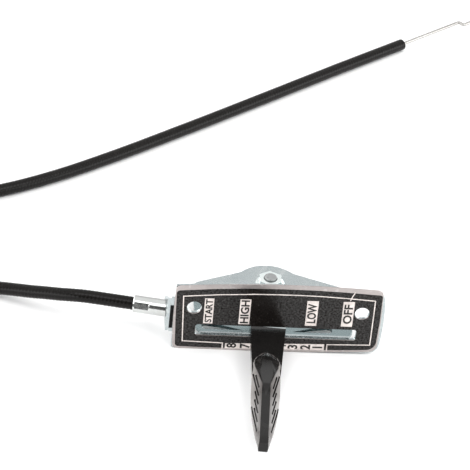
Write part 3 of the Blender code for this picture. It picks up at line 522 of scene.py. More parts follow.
@dataclass(frozen=True)
class MetalFinish:
    """A metal surface: plated, printed-on or bright, with its grain and handling marks."""

    name: str
    tint: Triple
    shadow_tint: Triple
    roughness: Pair
    grain_scale: float = 700.0
    relief: float = 0.004 * MM
    scratches: float = 0.15

    def build(self) -> Material:
        """Builds the material."""
        sheet = Sheet(self.name)
        grain = sheet.group(GRAIN, Scale=self.grain_scale, Detail=4.0)["Grain"]
        marks = sheet.group(SCRATCHES, Scale=500.0, Amount=self.scratches)["Scratches"]
        cloud = sheet.group(GRAIN, Scale=self.grain_scale / 9, Detail=2.0)["Grain"]
        tint = sheet.mix(cloud, self.shadow_tint, self.tint)
        tint = sheet.mix(marks, tint, (0.9, 0.9, 0.9))
        sheet.feed("Base Color", self.varied(sheet, tint))
        sheet.feed("Roughness", sheet.between(grain, *self.roughness))
        sheet.set(Metallic=1.0)
        sheet.bump(grain, self.relief)
        return sheet.material

    def varied(self, sheet: Sheet, colour: NodeSocket) -> NodeSocket:
        """Gives the colour over the piece, which is the same all over it."""
        return colour


@dataclass(frozen=True)
class HousingFinish(MetalFinish):
    """The housing's zinc, with painted shade that darkens it inside the housing and a painted black
    shadow in the corner between the ear and the face.
    """

    # Painted shade inside the housing, and a painted black shadow in the corner between the ear and the
    # face.
    inside_shade_tint: Triple = (0.26, 0.32, 0.33)
    corner_shadow_tint: Triple = (0.012, 0.012, 0.012)
    inside: Pair = (2.4, 30.0)
    inside_fade: float = 6.0
    corner_across: Pair = (-48.9, -47.0)
    corner_upward: Pair = (10.6, 23.6)
    corner_back: float = 2.6
    soft: float = 0.25 * MM

    def varied(self, sheet: Sheet, colour: NodeSocket) -> NodeSocket:
        """Paints shade on the zinc inside the housing and a black shadow in the ear's corner.

        Args:
            sheet: The material under construction.
            colour: The colour of clean zinc.

        Returns:
            The colour over the whole housing.
        """
        soft = self.soft
        place = sheet.split(sheet.place)
        # Painted shade: the zinc behind the face, inside the housing, is darkened, fading out towards the
        # back.
        front, rear = (placed(0, depth, 0).y for depth in self.inside)
        behind = sheet.step(place["Y"], front, front + soft)
        before = sheet.step(place["Y"], rear + self.inside_fade * MM, rear)
        colour = sheet.mix(sheet.product(behind, before), colour, self.inside_shade_tint)
        # Painted shadow: the corner between the ear and the face is painted near black.
        back = placed(0, self.corner_back, 0).y
        corner = sheet.step(place["Y"], back + soft, back)
        low = placed(self.corner_across[0], 0, self.corner_upward[0])
        high = placed(self.corner_across[1], 0, self.corner_upward[1])
        for axis, start, stop in (("X", low.x, high.x), ("Z", low.z, high.z)):
            above = sheet.step(place[axis], start, start + soft)
            below = sheet.step(place[axis], stop, stop - soft)
            corner = sheet.product(corner, above, below)
        return sheet.mix(corner, colour, self.corner_shadow_tint)


@dataclass(frozen=True)
class PlasticFinish:
    """A moulded plastic, vinyl, fibre or nylon surface with a fine moulded texture."""

    name: str
    colour: Triple
    worn_colour: Triple
    roughness: Pair
    grain_scale: float = 1500.0
    relief: float = 0.012 * MM
    scuffs: float = 0.25
    gloss: float = 0.5

    def build(self) -> Material:
        """Builds the material."""
        sheet = Sheet(self.name)
        grain = sheet.group(GRAIN, Scale=self.grain_scale, Detail=3.0)["Grain"]
        marks = sheet.group(SCRATCHES, Scale=350.0, Amount=self.scuffs)["Scratches"]
        cloud = sheet.group(GRAIN, Scale=90.0, Detail=3.0)["Grain"]
        colour = sheet.mix(cloud, self.colour, tuple(1.3 * c for c in self.colour))
        sheet.set(Specular_IOR_Level=self.gloss)
        sheet.feed("Roughness", sheet.between(grain, *self.roughness))
        colour = self.varied(sheet, colour)
        sheet.feed("Base Color", sheet.mix(marks, colour, self.worn_colour))
        sheet.bump(grain, self.relief)
        return sheet.material

    def varied(self, sheet: Sheet, colour: NodeSocket) -> NodeSocket:
        """Gives the colour under the scuffs, which is the same all over the piece."""
        return colour


@dataclass(frozen=True)
class GripFinish(PlasticFinish):
    """The grip's plastic, polished black, with painted light: a pale reflection on the ridged flanks, a
    highlight on the boss's rim, and shade on the boss's sides and the band's start.

    Lengths along the grip are in millimetres from the pivot, and heights from the floor.
    """

    # The painted pale reflection on the flanks, from near the middle to the outer edge.
    flank_reflection_colour: Triple = (0.085, 0.077, 0.074)
    edge_reflection_colour: Triple = (0.25, 0.238, 0.23)
    pivot: Pair = (0.0, 37.0)
    lever_turn: float = math.radians(-5.56)
    flank_start: float = 87.8
    flank_slope: float = 4.35
    flank_soft: float = 1.2
    flank_width: Pair = (2.4, 6.2)
    boss: Pair = (52.0, 64.5)
    # Where the painted highlight on the boss's rim runs.
    rim_height: float = 12.75
    rim_half: float = 0.16
    # Where painted shade takes the shine off the start of the band, and how much.
    band_start: Pair = (79.5, 80.5)
    band_shade_end: Pair = (85.0, 88.0)
    band_shade_strength: float = 0.7
    shade_shine_share: float = 0.12
    flank_share: float = 0.5

    def varied(self, sheet: Sheet, colour: NodeSocket) -> NodeSocket:
        """Paints a pale reflection on the flanks and a highlight on the boss's rim, and paints shade on
        the boss's sides and the band's start by taking their shine off.

        Args:
            sheet: The material under construction.
            colour: The polished colour.

        Returns:
            The colour over the whole grip.
        """
        pivot = placed(*self.pivot, 0.0)
        place = sheet.turned(sheet.place, pivot, -self.lever_turn)
        normal = sheet.turned(sheet.normal, Vector((0, 0, 0)), -self.lever_turn)
        aside = sheet.math("ABSOLUTE", sheet.math("SUBTRACT", place["X"], pivot.x))
        along = sheet.math("SUBTRACT", pivot.y, place["Y"])

        # The painted pale reflection on the flanks starts at a V across the grip, on faces that look
        # sideways, and is kept off the ridges' recesses, which stay dark like shade.
        on_side = sheet.step(sheet.math("ABSOLUTE", normal["X"]), 0.25, 0.4)
        reach = sheet.math("MULTIPLY_ADD", aside, self.flank_slope, along)
        beyond = sheet.step(reach, self.flank_start * MM, (self.flank_start + self.flank_soft) * MM)
        recess = sheet.add("ShaderNodeAttribute", attribute_name="recess").outputs["Fac"]
        flank_reflection = sheet.product(on_side, beyond, sheet.step(recess, 0.1, 0.3, 1.0, 0.0))
        spread = sheet.step(aside, *(width * MM for width in self.flank_width))
        painted_reflection = sheet.mix(spread, self.flank_reflection_colour, self.edge_reflection_colour)

        # Painted highlight: a thin pale line round the boss's rim.
        rim_height, rim_half = self.rim_height * MM, self.rim_half * MM
        above = sheet.step(place["Z"], rim_height - rim_half, rim_height)
        below = sheet.step(place["Z"], rim_height + rim_half, rim_height)
        boss_start, boss_stop = (limit * MM for limit in self.boss)
        past_neck = sheet.step(along, boss_start, boss_start + 1.0 * MM)
        on_boss = sheet.step(along, boss_stop, boss_stop + 1.0 * MM, 1.0, 0.0)
        rim_highlight = sheet.product(above, below, on_boss, past_neck)

        # Painted shade: the shine is taken off the boss's sides and the start of the band, so that they
        # look darker than the rest.
        sides = sheet.product(on_side, sheet.math("SUBTRACT", 1.0, beyond))
        started, dulled = (
            sheet.step(along, *(limit * MM for limit in span))
            for span in (self.band_start, self.band_shade_end)
        )
        band_shade = sheet.product(sheet.math("SUBTRACT", started, dulled), self.band_shade_strength)
        shade_dulling = sheet.between(sheet.math("MAXIMUM", sides, band_shade), 1.0, self.shade_shine_share)
        # The flanks, where the pale reflection is painted, keep only part of their shine.
        shine = sheet.product(sheet.between(beyond, 1.0, self.flank_share), shade_dulling, self.gloss)
        sheet.feed("Specular IOR Level", shine)
        return sheet.mix(sheet.math("MAXIMUM", flank_reflection, rim_highlight), colour, painted_reflection)


@dataclass(frozen=True)
class InkFinish:
    """Printed ink on the label under an uneven gloss coat, with worn specks."""

    name: str
    colour: Triple
    speck_colour: Triple
    roughness: Pair
    speck_threshold: float
    gloss: float = 0.3
    coat: float = 0.2
    coat_roughness: float = 0.22
    coat_ior: float = 1.55
    speck_scale: float = 1100.0
    relief: float = 0.003 * MM

    def build(self) -> Material:
        """Builds the material."""
        sheet = Sheet(self.name)
        specks = sheet.group(
            GRAIN, Scale=self.speck_scale, Detail=2.0, Threshold=self.speck_threshold
        )
        grain = specks["Grain"]
        cloud = sheet.group(GRAIN, Scale=220.0, Detail=3.0)["Grain"]
        colour = sheet.mix(cloud, self.colour, tuple(1.5 * c for c in self.colour))
        sheet.feed("Base Color", sheet.mix(specks["Speckle"], colour, self.speck_colour))
        sheet.feed("Roughness", sheet.between(grain, *self.roughness))
        sheet.feed("Coat Weight", sheet.between(grain, 0.0, self.coat))
        sheet.set(Specular_IOR_Level=self.gloss)
        sheet.set(Coat_Roughness=self.coat_roughness, Coat_IOR=self.coat_ior)
        sheet.bump(grain, self.relief)
        return sheet.material


ZINC = MetalFinish("bluish_zinc", (0.50, 0.545, 0.55), (0.44, 0.485, 0.495), (0.2, 0.34))
HOUSING_ZINC = HousingFinish("housing_zinc", ZINC.tint, ZINC.shadow_tint, ZINC.roughness)
NUT_ZINC = MetalFinish("nut_zinc", (0.92, 0.97, 0.96), (0.8, 0.88, 0.87), (0.1, 0.18))
LABEL_METAL = MetalFinish("label_aluminium", (0.46, 0.42, 0.41), (0.40, 0.365, 0.355), (0.28, 0.42))
BRIGHT_STEEL = MetalFinish("bright_steel", (0.62, 0.63, 0.62), (0.54, 0.55, 0.54), (0.1, 0.18))
WIRE_STEEL = MetalFinish("wire_steel", (0.5, 0.49, 0.47), (0.42, 0.41, 0.395), (0.2, 0.32))
SPRING_STEEL = MetalFinish("spring_steel", (0.40, 0.41, 0.41), (0.31, 0.32, 0.32), (0.25, 0.4))
GRIP_PLASTIC = GripFinish(
    "black_grip",
    (0.008, 0.0075, 0.0072),
    (0.04, 0.04, 0.04),
    (0.15, 0.24),
    relief=0.003 * MM,
    scuffs=0.1,
    gloss=0.5,
)
VINYL = PlasticFinish(
    "black_vinyl", (0.004, 0.0034, 0.003), (0.02, 0.018, 0.017), (0.22, 0.3), gloss=0.16
)
NYLON = PlasticFinish("black_nylon", (0.014, 0.014, 0.014), (0.05, 0.05, 0.05), (0.35, 0.5))
FIBRE = PlasticFinish("brown_fibre", (0.11, 0.055, 0.03), (0.2, 0.12, 0.08), (0.7, 0.9))
BLACK_INK = InkFinish(
    "black_ink",
    (0.0055, 0.0045, 0.004),
    (0.03, 0.027, 0.025),
    (0.16, 0.28),
    0.62,
    gloss=0.05,
    coat=1.0,
)
WHITE_INK = InkFinish("white_ink", (0.54, 0.49, 0.465), (0.3, 0.28, 0.27), (0.3, 0.45), 0.66)
LETTER_INK = InkFinish("letter_ink", (0.012, 0.011, 0.010), (0.08, 0.07, 0.07), (0.25, 0.4), 0.68)


@dataclass
class Outline:
    """A closed flat outline in millimetres, made of corners that are rounded or sharp."""

    corners: list[Triple]

    def points(self) -> Flat:
        """Gives the outline's points, with each corner rounded to its radius."""
        outline: Flat = []
        count = len(self.corners)
        for index, (x, y, radius) in enumerate(self.corners):
            here = Vector((x, y))
            before = (Vector(self.corners[index - 1][:2]) - here).normalized()
            after = (Vector(self.corners[(index + 1) % count][:2]) - here).normalized()
            between = before.angle(after)
            turn = math.pi - between
            if radius <= 0 or turn < 1e-4:
                outline.append((x, y))
                continue
            reach = radius / math.tan(between / 2)
            centre = here + (before + after).normalized() * (radius / math.sin(between / 2))
            start = here + before * reach - centre
            side = 1 if before.x * after.y - before.y * after.x < 0 else -1
            steps = max(3, math.ceil(turn / math.radians(9)))
            for step in range(steps + 1):
                spoke = start.copy()
                spoke.rotate(Matrix.Rotation(side * turn * step / steps, 2))
                outline.append(tuple(centre + spoke))
        return outline


def circle_points(x: float, y: float, diameter: float, steps: int = 40) -> Flat:
    """Gives the points of a circle, in millimetres."""
    angles = [math.tau * step / steps for step in range(steps)]
    radius = diameter / 2
    return [(x + radius * math.cos(angle), y + radius * math.sin(angle)) for angle in angles]


def rectangle(left: float, right: float, low: float, high: float, radius: float = 0.0) -> Flat:
    """Gives the outline of a rectangle with rounded or sharp corners, in millimetres."""
    corners = [(left, low), (right, low), (right, high), (left, high)]
    return Outline([(x, y, radius) for x, y in corners]).points()


def flat_solid(
    name: str, outlines: list[Flat], bottom: float, top: float, place: Matrix
) -> Object:
    """Makes a thin solid from outlines in local XY, between two heights.

    Args:
        name: The piece's name.
        outlines: Closed outlines in millimetres. One inside another is a hole.
        bottom: Where the solid starts along local Z, in millimetres.
        top: Where it ends.
        place: From the outlines' plane to the part's frame.

    Returns:
        The solid, as a plain mesh.
    """
    lines = [[(x * MM, y * MM, 0.0) for x, y in outline] for outline in outlines]
    curve = poly_curve(name, lines, flat=True)
    curve.fill_mode = "BOTH"
    curve.extrude = (top - bottom) / 2 * MM
    piece = linked(name, curve)
    piece.matrix_world = place @ Matrix.Translation((0, 0, (bottom + top) / 2 * MM))
    return welded(settled(piece), WELD, outward=True)


@dataclass
class Housing:
    """The folded zinc housing: face, hem, pivot plate and side ear.

    The blocks that trim it are in the control frame's millimetres, with side outlines in Y and Z.
    """

    edge: float = 0.28 * MM
    label_left: float = -46.9
    sheet_back: float = 2.6
    ear_inside: float = -48.4
    ear_low: float = 8.8
    ear_high: float = 27.5
    ear_slope: tuple[Pair, ...] = ((-1.0, 28.5), (22.0, 13.5), (22.0, 42.0), (-1.0, 42.0))
    clear_left: float = -52.0
    clear_front: float = -1.0
    clear_low: float = -1.0
    clear_high: float = 42.0

    def block(self, right: float, side: tuple[Pair, ...]) -> list[Vector]:
        """Gives the corners of a block from past the housing's left side, with a side outline."""
        return [placed(x, y, z) for x in (self.clear_left, right) for y, z in side]

    def build(self) -> list[Object]:
        """Draws the face in under the label beside the ear, rounds the edges and plates it."""
        front, back = self.clear_front, self.sheet_back
        cuts = []
        for low, high in ((self.clear_low, self.ear_low), (self.ear_high, self.clear_high)):
            side = ((front, low), (back, low), (back, high), (front, high))
            cuts.append(self.block(self.label_left, side))
        cuts.append(self.block(self.ear_inside, self.ear_slope))
        piece = softened("housing", self.edge, cuts=tuple(cuts))
        return [finished(piece, HOUSING_ZINC.build(), Body.CONTROL)]


@dataclass
class Label:
    """The printed label: its metal, the black field, the white lines and boxes, and plain marks."""

    height: float = 37.2
    turn: float = math.radians(0.9)
    slot_length: float = 73.5
    slot_width: float = 6.1
    slot_height: float = 10.9
    slot_corner: float = 1.2
    hole_diameter: float = 6.7
    hole_spacing: float = 76.2
    hole_rise: float = 12.3
    line: float = 0.5
    boxes: tuple[tuple[str, float, float], ...] = (
        ("START", -31.4, 4.2),
        ("HIGH", -15.1, 4.9),
        ("LOW", 15.3, 5.2),
        ("OFF", 31.7, 5.1),
    )
    box_bottom: float = 15.2
    box_top: float = 29.1
    scale_marks: tuple[tuple[str, float], ...] = (
        ("8", -19.8), ("7", -13.6), ("6", -8.0), ("5", -2.6),
        ("4", 2.9), ("3", 8.2), ("2", 14.0), ("1", 19.6),
    )
    scale_height: float = 3.0
    scale_size: Pair = (4.6, 2.7)
    box_margin: float = 0.5
    letter_pitch: float = 3.6
    narrowest_letter: float = 0.5
    letter_height: float = 0.03
    letter_depth: float = 0.12
    metal_edge: float = 0.12 * MM
    field_height: float = 0.03
    print_height: float = 0.05
    scratch_height: float = 0.055
    made: list[Object] = field(default_factory=list)

    def plane(self) -> Matrix:
        """Gives the way from the label's own flat frame to the part's frame."""
        middle = Matrix.Translation((0, self.height / 2 * MM, 0))
        return (
            Matrix.Translation(CONTROL_ORIGIN)
            @ Matrix.Rotation(math.pi / 2, 4, "X")
            @ middle
            @ Matrix.Rotation(self.turn, 4, "Z")
            @ middle.inverted()
        )

    def face_openings(self) -> list[Flat]:
        """Gives the slot and the two holes in the label's own frame."""
        back = self.plane().inverted()
        half = self.slot_length / 2
        low = self.slot_height - self.slot_width / 2
        high = self.slot_height + self.slot_width / 2
        outlines = [rectangle(-half, half, low, high, self.slot_corner)]
        for side in (-1, 1):
            x, z = side * self.hole_spacing / 2, self.slot_height + self.hole_rise
            outlines.append(circle_points(x, z, self.hole_diameter))
        moved = []
        for outline in outlines:
            points = [back @ placed(x, 0, z) / MM for x, z in outline]
            moved.append([(point.x, point.y) for point in points])
        return moved

    def add(self, name: str, outlines: list[Flat], height: float, material: Material) -> None:
        """Adds one printed layer that stands off the metal by a height in millimetres."""
        piece = flat_solid(name, outlines, -0.1, height, self.plane())
        self.made.append(finished(piece, material, Body.CONTROL))

    def black_field(self) -> Flat:
        """Gives the outline of the black print, bowed like the label."""
        corners = [(-45.5, 2.0, 1.6), (-30.0, 1.55, 0), (0.0, 1.25, 0), (30.0, 1.7, 0)]
        corners += [(46.1, 2.3, 4.6), (46.7, 18.0, 0), (46.6, 33.0, 1.2)]
        corners += [(30.0, 34.2, 0), (15.0, 34.9, 0), (0.0, 35.15, 0), (-15.0, 35.05, 0)]
        corners += [(-30.0, 34.3, 0), (-46.4, 33.0, 1.6), (-46.1, 18.0, 0)]
        return Outline(corners).points()

    def white_line(self) -> list[Flat]:
        """Gives the thin white frame line inside the black field, open at the scale strip."""
        centre = [(-23.9, 0.9), (-23.9, 4.3), (-42.3, 5.0), (-43.2, 30.0), (-27.0, 31.3), (-10.9, 32.0)]
        centre += [(0.0, 32.1), (10.0, 32.0), (19.0, 31.7), (30.0, 31.0), (43.5, 29.9), (43.5, 5.0)]
        centre += [(23.9, 4.7), (23.9, 0.9)]
        left: Flat = []
        right: Flat = []
        for index, (x, y) in enumerate(centre):
            before = Vector(centre[max(index - 1, 0)])
            after = Vector(centre[min(index + 1, len(centre) - 1)])
            here = Vector((x, y))
            first = (here - before).normalized() if index else (after - here).normalized()
            second = (after - here).normalized() if index < len(centre) - 1 else first
            across = (first + second).normalized().orthogonal()
            reach = self.line / 2 / max(0.3, abs(across.dot(first.orthogonal())))
            left.append(tuple(here + across * reach))
            right.append(tuple(here - across * reach))
        return [left + right[::-1]]

    def lettered(
        self, name: str, text: str, middle: Pair, size: Pair, material: Material
    ) -> None:
        """Adds black lettering that reads upwards.

        Args:
            name: The piece's name.
            text: The letters or numbers.
            middle: Its middle along and above the label's lower edge, in millimetres.
            size: How wide it is across its reading direction, and how long along it.
            material: Its finish.
        """
        letters = bpy.data.curves.new(name, "FONT")
        letters.body = text
        letters.align_x = "CENTER"
        letters.align_y = "CENTER"
        letters.extrude = 0.5
        letters.offset = 0.03
        letters.resolution_u = 3
        piece = settled(linked(name, letters))
        xs = [vertex.co.x for vertex in piece.data.vertices]
        ys = [vertex.co.y for vertex in piece.data.vertices]
        centred = Matrix.Translation((-(max(xs) + min(xs)) / 2, -(max(ys) + min(ys)) / 2, 0))
        long = size[1] * MM / max(max(xs) - min(xs), self.narrowest_letter)
        high = size[0] * MM / (max(ys) - min(ys))
        place = (
            self.plane()
            @ Matrix.Translation((middle[0] * MM, middle[1] * MM, self.letter_height * MM))
            @ Matrix.Rotation(math.pi / 2, 4, "Z")
            @ Matrix.Diagonal((long, high, self.letter_depth * MM, 1))
            @ centred
        )
        piece.data.transform(place)
        welded(piece, WELD)
        self.made.append(finished(piece, material, Body.CONTROL))

    def build(self) -> list[Object]:
        """Builds the label's metal and its printed layers."""
        metal = softened("label_plate", self.metal_edge)
        self.made.append(finished(metal, LABEL_METAL.build(), Body.CONTROL))
        black, white, letter = BLACK_INK.build(), WHITE_INK.build(), LETTER_INK.build()
        field_outlines = [self.black_field(), *self.face_openings()]
        self.add("label_black_field", field_outlines, self.field_height, black)
        self.add("label_frame_line", self.white_line(), self.print_height, white)
        low, high = self.box_bottom, self.box_top
        for number, (text, x, width) in enumerate(self.boxes, start=1):
            box = rectangle(x - width / 2, x + width / 2, low, high)
            self.add(f"label_box_{number}", [box], self.print_height, white)
            long = min(high - low - 2 * self.box_margin, self.letter_pitch * len(text))
            size = (width - 2 * self.box_margin, long)
            self.lettered(f"label_mark_{number}", text, (x, (low + high) / 2), size, letter)
        strip = [(-22.7, 1.3), (22.6, 1.5), (22.6, 4.9), (-22.7, 4.2)]
        self.add("label_scale_strip", [strip], self.print_height, white)
        scratch = [(31.9, 29.6), (32.2, 29.5), (32.9, 31.6), (34.2, 34.4), (33.8, 34.6), (32.5, 31.8)]
        self.add("label_scratch", [scratch], self.scratch_height, white)
        for text, x in self.scale_marks:
            middle = (x, self.scale_height)
            self.lettered(f"label_scale_{text}", text, middle, self.scale_size, letter)
        return self.made


def carried(body: Body, *parts: tuple[str, float, MetalFinish | PlasticFinish]) -> list:
    """Rounds and finishes copies of CAD nodes that ride on one body.

    Args:
        body: The body.
        *parts: Each node's name, the width of its rounding in millimetres, and its finish.

    Returns:
        The new pieces.
    """
    return [finished(softened(node, edge * MM), look.build(), body) for node, edge, look in parts]


@dataclass
class Lever:
    """The lever: its zinc blade and the moulded grip."""

    blade_edge: float = 0.2
    grip_edge: float = 0.3
    recess_reach: float = 1.2 * MM

    def build(self) -> list[Object]:
        """Builds the blade and the grip."""
        blade, grip = carried(
            Body.LEVER,
            ("lever_blade", self.blade_edge, ZINC),
            ("grip", self.grip_edge, GRIP_PLASTIC),
        )
        mark_recesses(grip, self.recess_reach)
        return [blade, grip]


@dataclass
class PivotStack:
    """The pivot's bolt, nut and washers."""

    def build(self) -> list[Object]:
        """Rounds and finishes each fastener."""
        return carried(
            Body.CONTROL,
            ("pivot_bolt", 0.25, SPRING_STEEL),
            ("pivot_nut", 0.2, NUT_ZINC),
            ("friction_washer", 0.06, FIBRE),
            ("spring_washer", 0.1, SPRING_STEEL),
            ("flat_washer", 0.12, BRIGHT_STEEL),
        )


def conduit_tree() -> NodeTree:
    """Builds the Geometry Nodes tree that sweeps a ribbed, jacketed conduit along a curve.

    Returns:
        The tree, with inputs for radius, rib depth, rib pitch, step, sides and material.
    """
    graph = Graph(bpy.data.node_groups.new("ribbed_conduit", "GeometryNodeTree"))
    socket = graph.tree.interface.new_socket
    socket("Geometry", in_out="INPUT", socket_type="NodeSocketGeometry")
    for name, kind, value in (
        ("Radius", "NodeSocketFloat", 0.003),
        ("Rib Depth", "NodeSocketFloat", 0.0001),
        ("Rib Pitch", "NodeSocketFloat", 0.0018),
        ("Step", "NodeSocketFloat", 0.0005),
        ("Sides", "NodeSocketInt", 14),
    ):
        socket(name, in_out="INPUT", socket_type=kind).default_value = value
    socket("Finish", in_out="INPUT", socket_type="NodeSocketMaterial")
    socket("Geometry", in_out="OUTPUT", socket_type="NodeSocketGeometry")
    given = graph.add("NodeGroupInput").outputs

    def marked(curve: NodeSocket, name: str, measure: str) -> NodeOutputs:
        """Marks a curve's points with a spline measure, and gives the curve and the mark."""
        parameter = graph.add("GeometryNodeSplineParameter").outputs[measure]
        node = graph.add("GeometryNodeCaptureAttribute", {"Geometry": curve})
        node.capture_items.new("FLOAT", name)
        graph.tree.links.new(parameter, node.inputs[name])
        return node.outputs

    inputs = {"Curve": given["Geometry"], "Length": given["Step"]}
    resample = graph.add("GeometryNodeResampleCurve", inputs, mode="LENGTH")
    along = marked(resample.outputs["Curve"], "Along", "Length")
    inputs = {"Resolution": given["Sides"], "Radius": given["Radius"]}
    ring = graph.add("GeometryNodeCurvePrimitiveCircle", inputs)
    around = marked(ring.outputs["Curve"], "Around", "Factor")
    inputs = {"Curve": along["Geometry"], "Profile Curve": around["Geometry"], "Fill Caps": True}
    sweep = graph.add("GeometryNodeCurveToMesh", inputs)

    turns = graph.math("DIVIDE", along["Along"], given["Rib Pitch"])
    phase = graph.math("ADD", turns, around["Around"])
    height = graph.product(graph.math("SINE", graph.product(phase, math.tau)), given["Rib Depth"])
    normal = graph.add("GeometryNodeInputNormal").outputs["Normal"]
    offset = graph.add("ShaderNodeVectorMath", {0: normal, "Scale": height}, operation="SCALE")
    inputs = {"Geometry": sweep.outputs["Mesh"], "Offset": offset.outputs["Vector"]}
    swept = graph.add("GeometryNodeSetPosition", inputs).outputs["Geometry"]
    for kind in ("GeometryNodeSetShadeSmooth", "GeometryNodeRealizeInstances"):
        swept = graph.add(kind, {"Geometry": swept}).outputs["Geometry"]
    inputs = {"Geometry": swept, "Material": given["Finish"]}
    swept = graph.add("GeometryNodeSetMaterial", inputs).outputs["Geometry"]
    graph.add("NodeGroupOutput", {"Geometry": swept})
    return graph.tree


def set_inputs(modifier: NodesModifier, values: dict[str, object]) -> None:
    """Sets a Geometry Nodes modifier's inputs by the identifiers of their named sockets."""
    for item in modifier.node_group.interface.items_tree:
        if item.in_out == "INPUT" and item.name in values:
            modifier[item.identifier] = values[item.name]


@dataclass
class Cable:
    """The free cable: ribbed conduit from the ferrule through the coil to the engine end."""

    diameter: float = 6.1 * MM
    height: float = 15.0
    depth: float = 9.95
    ear: float = -50.2
    yaw: float = math.radians(10.6)
    entry_stations: tuple[float, ...] = (3.1, 11.0, 19.0, 27.0, 35.1)
    end_stations: tuple[float, ...] = (-36.0, -27.0, -18.0, -9.0, 0.0)
    end_wall: float = 0.8 * MM
    bore_depth: float = 14 * MM
    sides: int = 14
    rib_step: float = 0.45 * MM
    rib_depth: float = 0.055 * MM
    rib_pitch: float = 1.75 * MM
    coil_centre: Pair = (-173.0, 66.0)
    coil_radius: float = 31.0
    coil_lift: float = 0.9
    end: Pair = (92.4, 280.6)
    end_yaw: float = math.radians(37.9)
    near_route: tuple[Triple, ...] = (
        (-90.5, 17.5, 14.7), (-97.3, 20.2, 13.0), (-104.2, 23.8, 10.9), (-111.1, 27.4, 8.7),
        (-118.0, 31.2, 6.6), (-124.9, 34.3, 4.9), (-132.0, 36.2, 3.8), (-139.0, 36.9, 3.3),
        (-146.2, 36.6, 3.4), (-155.5, 34.8, 3.7), (-164.5, 32.8, 3.9),
    )
    far_route: tuple[Triple, ...] = (
        (-165.0, 107.9, 3.3), (-156.0, 109.0, 3.05), (-147.0, 110.8, 3.05), (-138.0, 113.3, 3.05),
        (-126.4, 118.1, 3.05), (-116.7, 122.9, 3.05), (-106.9, 128.4, 3.05), (-97.0, 134.5, 3.05),
        (-87.0, 141.2, 3.05), (-77.0, 148.3, 3.05), (-66.7, 155.8, 3.05), (-56.4, 163.6, 3.05),
        (-45.9, 171.7, 3.05), (-35.2, 180.0, 3.05), (-24.5, 188.3, 3.05), (-13.6, 196.9, 3.05),
        (-2.5, 205.7, 3.05), (8.7, 214.6, 3.05), (20.0, 223.6, 3.05), (31.5, 232.8, 3.05),
        (43.2, 242.1, 3.05), (53.6, 250.4, 3.05),
    )
    strands: tuple[Triple, ...] = (
        (0, 3.05, 3.05), (300, 3.05, 3.05), (360, -3.05, 3.05), (600, -3.05, 3.05),
        (630, -3.25, 6.3), (660, -3.05, 9.15), (900, -3.05, 9.15), (960, 3.05, 9.15),
        (1200, 3.05, 9.15), (1230, 2.3, 12.4), (1260, 0.0, 15.2), (1320, 0.0, 15.2),
        (1350, 0.0, 14.5), (1460, 0.0, 14.5), (1500, 6.0, 13.6), (1540, 9.3, 9.3), (1580, 9.5, 5.4),
        (1620, 9.8, 3.05),
    )

    def cable_frame(self) -> Matrix:
        """Gives a frame at the ear on the ferrule's axis, with local Z along the cable."""
        return (
            Matrix.Translation(placed(self.ear, self.depth, self.height))
            @ Matrix.Rotation(math.pi - self.yaw, 4, "Z")
            @ Matrix.Rotation(math.pi / 2, 4, "Y")
        )

    def end_frame(self) -> Matrix:
        """Gives a frame at the conduit's engine end, with local Z along the wire."""
        return (
            Matrix.Translation(placed(self.end[0], self.end[1], self.diameter / 2 / MM))
            @ Matrix.Rotation(self.end_yaw, 4, "Z")
            @ Matrix.Rotation(math.pi / 2, 4, "Y")
        )

    def coil_points(self) -> list[Vector]:
        """Gives the coil's line, each 10 degrees, with eased shifts from strand to strand."""
        points = []
        for degrees in range(0, 1621, 10):
            for (a0, r0, z0), (a1, r1, z1) in zip(self.strands, self.strands[1:]):
                if degrees <= a1:
                    share = (degrees - a0) / (a1 - a0)
                    share = share * share * (3 - 2 * share)
                    out, high = r0 + (r1 - r0) * share, z0 + (z1 - z0) * share
                    break
            angle = math.radians(degrees)
            reach = self.coil_radius + out
            lift = self.coil_lift * min(1.0, (1620 - degrees) / 60)
            points.append(
                placed(
                    self.coil_centre[0] - reach * math.sin(angle),
                    self.coil_centre[1] - reach * math.cos(angle),
                    high + lift,
                )
            )
        return points

    def route(self) -> list[Vector]:
        """Gives the whole cable's centreline."""
        start, stop = self.cable_frame(), self.end_frame()
        entry = [start @ Vector((0, 0, t * MM)) for t in self.entry_stations]
        leaving = [stop @ Vector((0, 0, t * MM)) for t in self.end_stations]
        near = [placed(*point) for point in self.near_route]
        far = [placed(*point) for point in self.far_route]
        return smooth_line(entry + near + self.coil_points() + far + leaving, 2.0 * MM)

    def hollow_ends(self, piece: Object) -> None:
        """Opens both ends of the swept tube into blind bores.

        Args:
            piece: The tube, with one flat cap at each end.
        """
        shape = bmesh.new()
        shape.from_mesh(piece.data)
        bmesh.ops.remove_doubles(shape, verts=shape.verts, dist=WELD)
        caps = [face for face in shape.faces if len(face.verts) > 4]
        for cap in caps:
            normal = cap.normal.copy()
            bmesh.ops.inset_region(shape, faces=[cap], thickness=self.end_wall)
            pushed = bmesh.ops.extrude_face_region(shape, geom=[cap])
            verts = [item for item in pushed["geom"] if isinstance(item, bmesh.types.BMVert)]
            bmesh.ops.translate(shape, verts=verts, vec=-normal * self.bore_depth)
            if cap.is_valid:
                bmesh.ops.delete(shape, geom=[cap], context="FACES_ONLY")
        shape.to_mesh(piece.data)
        shape.free()

